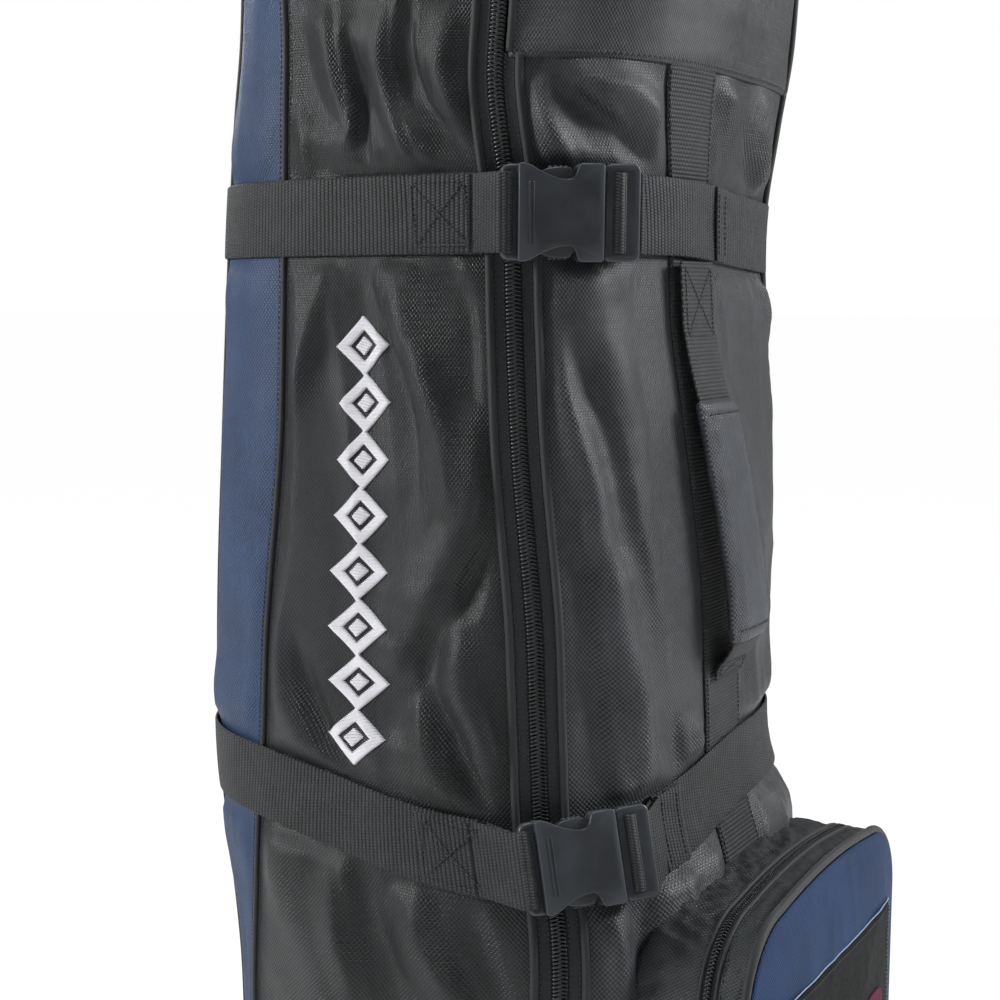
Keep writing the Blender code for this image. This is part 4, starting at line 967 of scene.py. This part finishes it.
def fix_normals(obj):
    """Turns a closed piece's faces outwards if its signed volume is negative."""
    mesh = obj.data
    n = len(mesh.vertices)
    co = np.empty(n * 3)
    mesh.vertices.foreach_get("co", co)
    co = co.reshape(-1, 3) - co.reshape(-1, 3).mean(0)
    mesh.calc_loop_triangles()
    tri = np.empty(len(mesh.loop_triangles) * 3, int)
    mesh.loop_triangles.foreach_get("vertices", tri)
    a, b, c = co[tri.reshape(-1, 3)].transpose(1, 0, 2)
    if (a * np.cross(b, c)).sum() < 0:
        mesh.flip_normals()
    return obj


def buckle_frame(strap):
    z, u = strap[:2]
    low, high = (wall(u + d, z) * (1, 1, 0) + (0, 0, strap_z(strap, np.array(u + d))) for d in (-6.0, 6.0))
    run = high - low
    slope = run[2] / math.hypot(run[0], run[1])
    zc = float(strap_z(strap, np.array(u)))
    along = wall(u + 3.0, zc) - wall(u - 3.0, zc)
    outward = np.cross(along, wall(u, zc + 0.02) - wall(u, zc - 0.02))
    outward /= np.linalg.norm(outward)
    tangent = np.cross((0, 0, 1.0), outward)
    tangent /= np.linalg.norm(tangent)
    tangent = tangent + np.cross(outward, tangent) * slope
    tangent /= np.linalg.norm(tangent)
    axes = np.stack([tangent, np.cross(outward, tangent), outward], 1)
    return wall(u, zc) + outward * 0.006, axes


def into(place_, points):
    origin, axes = place_
    return origin + np.asarray(points, float) @ axes.T


def solid(name, outline, low, high, bevel, holes=()):
    """A plate with rounded edges, from an outline and heights, with holes cut through it."""
    def prism(key, ring, a, b):
        n = len(ring)
        verts = [(x, y, a) for x, y in ring] + [(x, y, b) for x, y in ring]
        faces = [list(range(n))[::-1], list(range(n, 2 * n))]
        faces += [[i, (i + 1) % n, n + (i + 1) % n, n + i] for i in range(n)]
        return make_mesh(key, verts, faces, None, "plastic", smooth=False)

    made = prism(name, outline, low, high)
    cutters = [prism(f"{name}_cut_{k}", *hole) for k, hole in enumerate(holes)]
    for cutter in cutters:
        cut = made.modifiers.new("cut", "BOOLEAN")
        cut.object, cut.operation, cut.solver = cutter, "DIFFERENCE", "EXACT"
    if bevel:
        edge = made.modifiers.new("edge", "BEVEL")
        edge.width, edge.segments, edge.use_clamp_overlap = bevel, 3, True
        edge.limit_method, edge.angle_limit = "ANGLE", math.radians(40)
    bpy.context.view_layer.update()
    final = bpy.data.meshes.new_from_object(made.evaluated_get(bpy.context.evaluated_depsgraph_get()))
    made.modifiers.clear()
    made.data = final
    for cutter in cutters:
        bpy.data.objects.remove(cutter)
    final.shade_smooth()
    final.set_sharp_from_angle(angle=math.radians(38))
    return made


def settle(obj, place_):
    origin, axes = place_
    matrix = Matrix(axes.tolist()).to_4x4()
    matrix.translation = origin
    obj.data.transform(matrix)
    return obj


def mirror(half):
    return list(half) + [(x, -y) for x, y in reversed(half) if abs(y) > 1e-6]


def rounded_box(x0, x1, y1, r, steps=5):
    """A rounded rectangle, symmetric in y."""
    half = []
    for cx, start in ((x0 + r, math.pi), (x1 - r, math.pi / 2)):
        for k in range(steps + 1):
            a = start - math.pi / 2 * k / steps
            half.append((cx + r * math.cos(a), y1 - r + r * math.sin(a)))
    return mirror(half)


def joined(name, objs):
    """One object from several."""
    bpy.context.view_layer.update()
    for o in bpy.context.selected_objects:
        o.select_set(False)
    for o in objs:
        o.select_set(True)
    bpy.context.view_layer.objects.active = objs[0]
    bpy.ops.object.join()
    objs[0].name = name
    return objs[0]


def build_buckle(name, strap):
    spot = buckle_frame(strap)
    w = 0.0295
    outline = mirror([
        (-0.0330, 0.0282), (-0.0318, w), (-0.0295, w), (-0.0255, 0.0283), (-0.0200, 0.0252),
        (-0.0140, 0.0224), (-0.0080, 0.0206), (-0.0030, 0.0200), (0.0002, 0.0205), (0.0020, 0.0222),
        (0.0032, 0.0252), (0.0044, 0.0282), (0.0062, w), (0.0190, w), (0.0205, 0.0280)])
    cavity = (rounded_box(-0.029, 0.030, 0.0266, 0.002), 0.0028, 0.0107)
    scoop = (rounded_box(-0.0225, 0.0155, 0.0150, 0.009, 8), 0.0128, 0.02)
    shell_ = solid(f"{name}_shell", outline, 0.0, 0.0135, 0.0019, (cavity, scoop))
    horn = mirror([(-0.0430, 0.0225), (-0.0424, 0.0258), (-0.0405, 0.0281), (-0.0375, 0.0289),
                   (-0.0300, 0.0289)])
    slot = (rounded_box(-0.0388, -0.0334, 0.0255, 0.0016), -0.01, 0.03)
    horns = solid(f"{name}_horns", horn, 0.0010, 0.0080, 0.0016, (slot,))
    ribs = []
    for k, x in enumerate((-0.0272, -0.0246)):
        rib = rounded_box(x, x + 0.0011, 0.0185, 0.0005)
        ribs.append(solid(f"{name}_rib_{k}", rib, 0.0125, 0.0140, 0.0004))
    socket = settle(joined(f"{name}_socket_moulding", [shell_, horns, *ribs]), spot)
    place(socket, "case", "buckle_plastic", f"{name}_buckle_socket")
    frame_ = solid(f"{name}_frame", rounded_box(0.0211, 0.0436, w, 0.0046), 0.0014, 0.0108, 0.0020,
                   ((rounded_box(0.0228, 0.0290, 0.0252, 0.0012), -0.01, 0.03),
                    (rounded_box(0.0320, 0.0388, 0.0252, 0.0012), -0.01, 0.03)))
    tongue = solid(f"{name}_tongue", rounded_box(-0.0120, 0.0226, 0.0060, 0.0022), 0.0045, 0.0090, 0.0010)
    plug = settle(joined(f"{name}_plug_moulding", [frame_, tongue]), spot)
    place(plug, f"{name}_plug", "buckle_plastic", f"{name}_buckle_plug")
    for key, side in (("top", 1), ("bottom", -1)):
        arm = [(0.0195, -0.004), (-0.0085, -0.004), (-0.0205, -0.0008), (-0.0222, 0.0040), (-0.0190, 0.0082)]
        arm += [(-0.0140, 0.0103), (-0.0070, 0.0110), (-0.0005, 0.0108), (0.0012, 0.0084), (0.0060, 0.0046)]
        arm += [(0.0195, 0.0038)]
        ring = [(x, side * (0.0165 + y)) for x, y in arm]
        blade = solid(f"{name}_arm_{key}", ring[::side], 0.0036, 0.0099, 0.0011)
        bumps = [blade]
        for k in range(4):
            x = -0.0135 + 0.0032 * k
            low, high = side * 0.0268, side * 0.0280
            rib = [(x, low), (x + 0.0014, low), (x + 0.0014, high), (x, high)]
            bumps.append(solid(f"{name}_{key}_grip_{k}", rib[::side], 0.0042, 0.0093, 0.0004))
        prong = settle(joined(f"{name}_prong_{key}_moulding", bumps), spot)
        place(prong, f"{name}_prong_{key}", "buckle_plastic", f"{name}_buckle_prong_{key}")
    return spot


def build_straps():
    """Each strap goes round the case. Both its ends pass through the buckle and lie back on it."""
    for name, strap, sewn in (("upper", UPPER, (195.0, 207.0)), ("lower", LOWER, (195.0, 204.5))):
        spot = build_buckle(name, strap)
        u0, tail = strap[1], strap[2]
        webbing_to = lambda key, us, lift, wave=0.0: strap_band(f"{name}_{key}", strap, us, lift, wave)
        on_strap = lambda us, lift: on_wall(us, strap_z(strap, us), lift)[0]
        ring = webbing_to("strap_webbing", np.linspace(u0 + 13.0, u0 + 344.0, 560), 0.0031, 0.0005)
        place(ring, "case", "webbing", f"{name}_strap")
        up = spot[1][:, 1]
        # the sewn end: along the wall, up through the socket's end slot, over its bar and back
        local = into(spot, [(x, 0, z) for x, z in SEWN_TURN])
        under, over = np.linspace(u0 - 20.0, u0 - 14.5, 4), np.linspace(u0 - 17.0, 194.0, 16)
        path = catmull(np.concatenate([on_strap(under, 0.0031), local, on_strap(over, 0.0050)]), 7)
        place(loop_band(f"{name}_socket_loop", path, up), "case", "webbing")
        # the free end: under the plug, up through its near slot, over the middle bar and back under
        local = into(spot, [(x, 0, z) for x, z in FREE_TURN])
        end = np.linspace(u0 + 15.5, tail, max(6, int((tail - u0 - 15) / 2)))[:2]
        start = np.linspace(u0 + 20.0, u0 + 14.0, 4)
        turn = catmull(np.concatenate([on_strap(start, 0.0031), local, on_strap(end, 0.0056)]), 7)
        place(loop_band(f"{name}_plug_loop", turn, up), f"{name}_plug", "webbing")
        free = webbing_to("tail_webbing", np.linspace(u0 + 16.0, tail, 120), 0.0054, 0.0009)
        place(free, "case", "webbing", f"{name}_strap_tail")
        place(webbing_to("tail_hem", np.linspace(tail - 5.5, tail + 0.3, 24), 0.0072), "case", "webbing")
        for k, at in enumerate((tail - 4.6, tail - 0.9)):
            path, n = on_wall(at, strap_z(strap, at) + np.linspace(-0.021, 0.021, 40), 0.0083)
            place(stitches(f"{name}_tail_stitch_{k}", path, n, "thread", radius=0.00045), "case")
        for k, ((u1, v1), (u2, v2)) in enumerate(crossed_box(*sewn, -0.0195, 0.0195)):
            us = np.linspace(u1, u2, 50)
            path, n = on_wall(us, strap_z(strap, us) + np.linspace(v1, v2, 50), 0.0062)
            place(stitches(f"{name}_box_stitch_{k}", path, n, "thread", 0.0033, 0.0025, 0.00042), "case")


# (along the buckle, outward) points of the webbing's turns in its slots
SEWN_TURN = ((-0.0445, -0.0012), (-0.0385, -0.0004), (-0.0355, 0.0022), (-0.0358, 0.0072), (-0.0385, 0.0100),
             (-0.0420, 0.0098), (-0.0462, 0.0066))
FREE_TURN = ((0.0440, -0.0016), (0.0330, -0.0006), (0.0268, 0.0006), (0.0262, 0.0060), (0.0268, 0.0108),
             (0.0300, 0.0128), (0.0336, 0.0108), (0.0350, 0.0060), (0.0368, 0.0000), (0.0425, -0.0006),
             (0.0480, -0.0008))


def loop_band(name, path, up):
    """Webbing that turns through a buckle's slot."""
    n = np.cross(up, tangents(path))
    n /= np.linalg.norm(n, axis=-1, keepdims=True)
    ring = lambda i: path[i] + up * BAND[:, :1] * 0.0243 + n[i] * BAND[:, 1:] * STRAP_THICK / 2
    uvs = np.stack(np.broadcast_arrays(BAND[:, 0] * STRAP_HALF, lengths(path)[:, None]), -1)
    return fix_normals(sweep(name, path, ring, "webbing", uvs=uvs))


def crossed_box(x0, x1, y0, y1):
    """The lines of a sewn rectangle with a cross in it."""
    corners = [(x0, y0), (x1, y0), (x1, y1), (x0, y1)]
    return list(zip(corners, corners[1:] + corners[:1])) + [tuple(corners[::2]), tuple(corners[1::2])]


# ---------------------------------------------------------------- carry handle
STANDOFF = np.array([(0.556, 0.0045), (0.564, 0.0060), (0.572, 0.0115), (0.580, 0.0165), (0.590, 0.0190),
                     (0.670, 0.0160), (0.742, 0.0105), (0.756, 0.0085), (0.774, 0.0065), (0.800, 0.0048)])


ACROSS = np.array([1.0, 0, 0])


def handle_path(z):
    share = (z - STANDOFF[0, 0]) / (STANDOFF[-1, 0] - STANDOFF[0, 0])
    x = 0.003 - 0.050 * np.minimum(share, 1.0) - 0.010 * np.maximum(share - 1.0, 0.0)
    p = np.stack([x, front_y(0.0 * z, z) - eased(STANDOFF, z)[..., 0], z], -1)
    t = tangents(p)
    n = np.stack([np.zeros_like(z), -t[:, 2], t[:, 1]], -1)
    n /= np.linalg.norm(n, axis=-1, keepdims=True)
    return p, n


def handle_band(name, low, high):
    z = np.linspace(low, high, 60)
    p, n = handle_path(z)
    ring = lambda i: p[i] + ACROSS * BAND[:, :1] * STRAP_HALF + n[i] * (BAND[:, 1:] * 0.0019 / 2)
    uvs = np.stack(np.broadcast_arrays(BAND[:, 0] * STRAP_HALF, z[:, None]), -1)
    return fix_normals(sweep(name, p, ring, "strip", uvs=uvs))


def build_handle():
    """The strip down the front, the handle's webbing sewn to it, and the padded sleeve."""
    u, z = np.meshgrid(np.linspace(STRIP - 9.0, STRIP + 9.0, 25), np.linspace(0.404, 0.9630, 240))
    share = np.abs(np.linspace(-1, 1, 25))
    lift = 0.0016 - 0.0007 * np.clip((share - 0.93) / 0.07, 0, 1) + 0.0004 * noise(z * 30, u * 0.2, 3)
    points, _ = on_wall(u, z, lift)
    uvs = np.stack([(u - STRIP) * 0.0030, z], -1)
    place(shell("handle_strip_webbing", points, "strip", 0.0014, uvs=uvs), "case", "webbing", "handle_strip")
    for k, off in enumerate((-8.2, 8.2)):
        path, n = wall_line(STRIP + off, 0.410, 0.960, 0.0017, 300)
        place(stitches(f"handle_strip_stitch_{k}", path, n, "thread"), "case")
    grid = np.linspace(0.55, 0.85, 400)
    p, n = handle_path(grid)
    # key, the webbing's ends, its box's ends, and the heights where it is sewn down and where it swings free
    for key, web, box, sewn, free in (("low", (0.556, 0.594), (0.5575, 0.5685), 0.5585, 0.580),
                                      ("high", (0.742, 0.8415), (0.7930, 0.8380), 0.790, 0.756)):
        made = handle_band(f"handle_webbing_{key}", *web)
        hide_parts("handle_webbing")
        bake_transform(made)
        for k, ((x1, z1), (x2, z2)) in enumerate(crossed_box(-0.020, 0.020, *box)):
            z, x = np.linspace(z1, z2, 30), np.linspace(x1, x2, 30)
            norm = sample(z, grid, n)
            path = sample(z, grid, p) + ACROSS * x[:, None] + norm * 0.0010
            row = stitches(f"handle_{key}_stitch_{k}", path, norm, "thread", 0.0031, 0.0024, 0.0004)
            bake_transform(row)
    build_grip()


def build_grip():
    """The padded sleeve: two soft halves with a stitched line down the middle and hemmed ends."""
    low, high, half, count = 0.586, 0.750, 0.0300, 72
    z = np.linspace(low, high, 110)
    p, n = handle_path(z)
    ring = superellipse(1.0, 1.0, 0.5, count)
    x = ring[:, 0]
    crown = lambda x: 0.0034 + 0.0042 * (1 - np.abs(x) ** 3) - 0.0024 * np.exp(-(x / 0.07) ** 2)
    rows = []
    for share, spot, out in zip((z - low) / (high - low), p, n):
        near = min(share, 1 - share) * 164  # mm from the nearer end
        end, hem = min(near / 9, 1), math.exp(-((near - 8.5) / 1.2) ** 2)
        crease = 0.0005 * noise(x * 3 + 5, np.full(count, share * 24), 9)
        crease = crease + 0.0004 * noise(x * 9, np.full(count, share * 7), 8)
        depth = ring[:, 1] * (crown(x) * (0.52 + 0.48 * end**0.5) - 0.0010 * hem)
        depth = depth + np.sign(ring[:, 1]) * crease
        width = half * (1 + 0.012 * math.sin(share * 19) - 0.03 * (1 - end))
        rows.append(spot + ACROSS * (x * width)[:, None] + out * depth[:, None])
    faces = grid_faces(len(z), count, True).tolist() + grid_ends(len(z), count)
    uvs = np.stack(np.broadcast_arrays(x * half, z[:, None]), -1)
    grip = fix_normals(make_mesh("handle_grip_pad", np.array(rows), faces, uvs, "grip"))
    place(grip, "carry_handle", "black_fabric", "handle_grip")
    for k, (x1, z1, x2, z2, proud) in enumerate((
            (0, 0.588, 0, 0.748, 0.0008), (-0.026, 0.5945, 0.026, 0.5945, -0.0006),
            (-0.026, 0.7415, 0.026, 0.7415, -0.0006))):
        zs, xs = np.linspace(z1, z2, 60), np.linspace(x1, x2, 60)
        norm = sample(zs, z, n)
        end = np.clip(np.minimum(zs - low, high - zs) / 0.009, 0, 1)
        lift = crown(xs / half) * (0.52 + 0.48 * end**0.5) + proud
        path = sample(zs, z, p) + ACROSS * xs[:, None] + norm * lift[:, None]
        place(stitches(f"grip_stitch_{k}", path, norm, "trim", 0.0046, 0.0036, 0.0006), "carry_handle")


# ---------------------------------------------------------------- shoe pocket
P_HALF, P_LOW, P_TOP, P_CROWN, R_TOP, R_LOW = 0.143, 0.125, 0.426, 0.006, 0.055, 0.030
P_MID = (P_LOW + P_TOP) / 2
ZIP_Y, ZIP_HALF, FACE_Y = -0.236, 0.004, -0.262
CENTRE_HALF, CENTRE_LOW, CENTRE_TOP = 0.118, 0.178, 0.368


def pocket_ring(inset=0.0, count=420):
    """(x, z) points evenly round the pocket, from the middle of its lower edge."""
    arc = lambda cx, cz, r, a0: [(cx + r * math.cos(math.radians(a0 + 90 * k / 24)),
                                  cz + r * math.sin(math.radians(a0 + 90 * k / 24))) for k in range(25)]
    half = [(x, P_LOW + inset) for x in np.linspace(0.0, P_HALF - R_LOW, 12)[:-1]]
    half += arc(P_HALF - R_LOW, P_LOW + R_LOW, R_LOW - inset, 270)
    half += [(P_HALF - inset, z) for z in np.linspace(P_LOW + R_LOW, P_TOP - R_TOP, 20)[1:-1]]
    half += arc(P_HALF - R_TOP, P_TOP - R_TOP, R_TOP - inset, 0)
    for share in np.linspace(1, 0, 14)[1:]:
        half.append((share * (P_HALF - R_TOP), P_TOP - inset + P_CROWN * (1 - share * share)))
    ring = np.array(half + [(-x, z) for x, z in reversed(half[1:-1])])
    loop = np.concatenate([ring, ring[:1]])
    along = lengths(loop)
    a = np.linspace(0, along[-1], count, endpoint=False)
    return np.stack([np.interp(a, along, loop[:, i]) for i in range(2)], -1), a


def pocket_out(ring):
    t = np.roll(ring, -1, 0) - np.roll(ring, 1, 0)
    n = np.stack([t[:, 1], -t[:, 0]], -1)
    return n / np.linalg.norm(n, axis=-1, keepdims=True)


def pocket_wall(name, rear, front, look, size=0.0, seed=1, thick=0.0014, rows=16, bulge=0.0):
    """A wall round the pocket, from one depth to another, with creases of a given height."""
    ring, along = pocket_ring()
    out = pocket_out(ring)
    share = np.linspace(0, 1, rows)[:, None]
    y = rear(*ring.T)[None] * (1 - share) + front * share
    edge = np.clip(np.minimum(share, 1 - share) * 5, 0, 1)
    turn = along / along[-1] * 2 * math.pi
    cx, cy = np.cos(turn) * 6 + 20, np.sin(turn) * 6 + 20
    crease = fold(cx * 3.2 + share * 2, cy * 3.2 + share * 1.5, seed)
    crease = crease + 0.5 * fold(cx * 7 + share * 5, cy * 7, seed + 1)
    lift = (size * crease + bulge * np.sin(math.pi * share)) * edge
    x, z = ring[:, 0] + out[:, 0] * lift, ring[:, 1] + out[:, 1] * lift
    uvs = np.stack(np.broadcast_arrays(along, y), -1)
    return fix_normals(shell(name, np.stack([x, y, z], -1), look, thick, True, uvs))


def pocket_loop(inset, y):
    ring, _ = pocket_ring(inset)
    out = pocket_out(ring)
    path = np.stack([ring[:, 0], np.full(len(ring), y), ring[:, 1]], -1)
    return path, np.stack([out[:, 0], np.zeros(len(ring)), out[:, 1]], -1)


def face_y(share, x, z):
    puff = 0.0004 * fold(x * 40 + 7, z * 26 + 3, 171) * np.clip((1 - share) * 8, 0, 1)
    return FACE_Y - 0.0035 - 0.010 * (1 - share**2.5) - puff


def on_face(x, z, lift):
    """Points on the pocket's face, a little in front of its cloth."""
    share = np.maximum(np.abs(x) / P_HALF, np.abs(z - P_MID) / 0.15)
    return np.stack([x, face_y(share, x, z) - lift, z], -1)


CENTRE_HALF, CENTRE_LOW, CENTRE_TOP = 0.118, 0.178, 0.368


def build_pocket():
    """The shoe pocket: two gussets with the zip between them, and the face on the outer one."""
    rear_y = lambda x, z: front_y(x, z) + 0.0008
    level = lambda y: lambda x, z: 0 * x + y
    inner = pocket_wall("pocket_rear_gusset", rear_y, ZIP_Y + ZIP_HALF + 0.0002, "gusset", 0.0015, 151,
                        rows=18)
    place(inner, "case", "black_fabric", "pocket_gusset_inner")
    zip_wall = pocket_wall("pocket_zip_tape", level(ZIP_Y + ZIP_HALF + 0.0006), ZIP_Y - ZIP_HALF, "tape",
                           thick=0.0010, rows=5)
    place(zip_wall, "case", "zip_coil", "pocket_zip_coil")
    path, n = (np.concatenate([v, v[:1]]) for v in pocket_loop(-0.0010, ZIP_Y))
    sides = np.tile([0.0, 1.0, 0.0], (len(path), 1))
    place(teeth("pocket_zip_teeth", path, n, sides, "coil", reach=0.0026, radius=0.0008), "case", "zip_coil")
    outer = pocket_wall("pocket_front_gusset", level(ZIP_Y - ZIP_HALF - 0.0008), FACE_Y, "gusset", 0.0007,
                        161, rows=14, bulge=0.0008)
    place(outer, "pocket_flap", "black_fabric", "pocket_gusset_outer")
    for name, inset, y, r, body, *nodes in (
            ("pocket_face_piping", -0.0022, FACE_Y + 0.0002, 0.0030, "pocket_flap", "pocket_piping"),
            ("pocket_zip_piping_rear", -0.0006, ZIP_Y + 0.0052, 0.0013, "case"),
            ("pocket_zip_piping_front", -0.0006, ZIP_Y - 0.0058, 0.0013, "pocket_flap")):
        place(tube(name, *pocket_loop(inset, y), r, "trim", True, 12), body, "trim", *nodes)
    for name, inset, y, body in (("pocket_stitch_rear", -0.0006, ZIP_Y + 0.0072, "case"),
                                 ("pocket_stitch_front", -0.0008, ZIP_Y - 0.0086, "pocket_flap")):
        place(stitches(name, *pocket_loop(inset, y), "thread"), body)
    build_pocket_face()


def build_pocket_face():
    """Blue cloth all over, a black middle sewn on it, and a plain burgundy patch."""
    ring, _ = pocket_ring()
    share = np.linspace(1.0, 0.03, 46)[:, None]
    x, z = ring[:, 0] * share, P_MID + (ring[:, 1] - P_MID) * share
    points = np.stack([x, face_y(share, x, z), z], -1)
    border = shell("pocket_border_cloth", points, "border", 0.0016, True, np.stack([x, z], -1))
    place(fix_normals(border), "pocket_flap", "blue_fabric", "pocket_face_border")
    x, z = np.meshgrid(np.linspace(-CENTRE_HALF, CENTRE_HALF, 90), np.linspace(CENTRE_LOW, CENTRE_TOP, 70))
    centre = shell("pocket_centre_cloth", on_face(x, z, 0.0011), "centre", 0.0010, uvs=np.stack([x, z], -1))
    place(fix_normals(centre), "pocket_flap", "black_fabric", "pocket_face_centre")
    rim = np.concatenate([np.linspace(a, b, 60)[:-1] for a, b in crossed_box(-1.0, 1.0, 0.0, 1.0)[:4]])
    for k, (inset, lift, look) in enumerate(((-0.0012, 0.0005, "pale_thread"), (0.0030, 0.0014, "thread"))):
        x = rim[:, 0] * (CENTRE_HALF - inset)
        z = CENTRE_LOW + inset + rim[:, 1] * (CENTRE_TOP - CENTRE_LOW - 2 * inset)
        path, n = on_face(x, z, lift), np.tile([0.0, -1.0, 0.0], (len(x), 1))
        place(stitches(f"pocket_face_stitch_{k}", path, n, look), "pocket_flap")
        if k == 0:
            place(tube("pocket_centre_welt", path, n, 0.0005, look, True), "pocket_flap", "trim")
    rim = superellipse(0.096, 0.026, 0.25, 120)
    shares = (1.0, 0.985, 0.95, 0.8, 0.6, 0.4, 0.2, 0.05)
    points = np.array([on_face(rim[:, 0] * share, 0.288 + rim[:, 1] * share, 0.0013 if share == 1 else 0.0024)
                       for share in shares])
    patch = shell("pocket_patch", points, "maroon", 0.0008, True, points[..., (0, 2)])
    place(fix_normals(patch), "pocket_flap", "trim")


# ---------------------------------------------------------------- side emblem
def build_emblem():
    """A column of satin-stitched lozenges down the left side, each with a small one inside."""
    top, bottom, count = 0.806, 0.512, 8
    span = (top - bottom) / count
    verts = []
    for k in range(count):
        spot = (180.2 + 0.5 * math.sin(k * 1.3), top - span * (k + 0.5))
        verts += satin(*spot, span * 0.53, 0.0225, 0.52) + satin(*spot, span * 0.17, 0.0075, 0.0)
    faces = np.concatenate([grid_faces(9, 5, True, 45 * i) for i in range(len(verts))])
    verts = np.concatenate(verts)
    place(make_mesh("side_emblem", verts, faces, np.zeros((len(verts), 2)), "white_thread"), "case", "trim")


def satin(uc, zc, height, width, hollow):
    """Threads laid side by side across a lozenge, or across the rim of one."""
    out = []
    share = np.linspace(-1, 1, 9)
    ring = np.array([(0, 1), (0.8, 0.35), (0.6, -0.6), (-0.6, -0.6), (-0.8, 0.35)]) * 0.00052
    for row in np.linspace(-1, 1, max(3, int(2 * height / 0.00085))):
        reach = width * (1 - abs(row))
        if reach < 0.0008:
            continue
        cut = width * (hollow - abs(row)) if abs(row) < hollow else 0.0
        for a, b in [(-reach, reach)] if cut <= 0 else [(-reach, -cut), (cut, reach)]:
            x = np.linspace(a, b, 9)
            z = zc + row * height + 0.0010 * x / width
            us = uc + np.degrees(x / 0.19)
            base = cloth_lift("side_cloth_left", us, z, LEFT_SEAM + 0.5, LEFT_ZIP - PANEL_EDGE, SIDE_SIZE,
                              0.16, 11)
            path, normal = on_wall(us, z, base + 0.0003 + 0.0010 * (1 - share**6) ** 0.5)
            v = path[:, None] + ring[:, :1] * (0.0, 0.0, 1.0) + ring[:, 1:] * normal[:, None]
            out.append(v.reshape(-1, 3))
    return out


# ---------------------------------------------------------------- inside, base and small metal
def build_inside():
    """Quilted linings for the body and the hood."""
    a, z = np.meshgrid(np.linspace(0, 360, 181)[:-1], np.linspace(0.107, 0.955, 150))
    w = eased(SECTIONS, z)
    x = np.radians(a) * 0.18
    puff = np.abs(np.sin((x + z) * math.pi / 0.0942)) * np.abs(np.sin((x - z) * math.pi / 0.0942))
    at = lambda depth: section_point(twisted(a, z), w[..., 0] - depth, w[..., 1] - depth, w[..., 2], z)
    lining = shell("body_lining_quilt", at(LINING_INSET), "foam", wrap=True, uvs=np.stack([x, z], -1),
                   inner=at(LINING_INSET + 0.0016 + 0.0030 * puff**0.4))
    place(fix_normals(lining), "case", "foam_lining", "body_lining")
    a, t = np.meshgrid(np.linspace(0, 360, 181)[:-1], np.linspace(3.0, 88.5, 50))
    puff = np.abs(np.sin(np.radians(a) * 9 + t * 0.09)) * np.abs(np.sin(np.radians(a) * 9 - t * 0.09))
    base = dome(a, t, -0.0068)
    inward = (dome(a, t, -0.0078) - base) * 1000
    dip = (0.0010 + 0.0022 * puff**0.4 * np.clip((88.5 - t) / 25, 0, 1))[..., None]
    uvs = np.stack([np.radians(a) * 0.15, t * 0.003], -1)
    lining = closed_dome("hood_lining_quilt", base, base + inward * dip, "foam", uvs)
    place(fix_normals(lining), "hood", "foam_lining", "hood_lining")


def build_base():
    repaint("board", "base_board")
    repaint("base", "base_tray", "runner_left", "runner_centre", "runner_right", "wheel_housing_left",
            "wheel_housing_right")
    for side in ("left", "right"):
        repaint("hub", f"wheel_{side}_hub")
        repaint("tyre", f"wheel_{side}_tyre")
        repaint("metal", f"wheel_{side}_axle")
    for kind in ("main", "right", "pocket"):
        repaint("metal", f"{kind}_zip_slider", f"{kind}_zip_pull")
    a = np.linspace(0, 360, 241)[:-1]
    path = wall(a, np.full(240, 0.0988), 0.0006)
    n = wall_normal(a, np.full(240, 0.11))
    place(tube("base_binding", path, n, 0.0024, "trim", True, 10), "case", "trim")


def main():
    set_stage()
    build_panels()
    build_zips()
    build_hood()
    build_straps()
    build_handle()
    build_pocket()
    build_emblem()
    build_inside()
    build_base()


main()
bpy.context.view_layer.update()
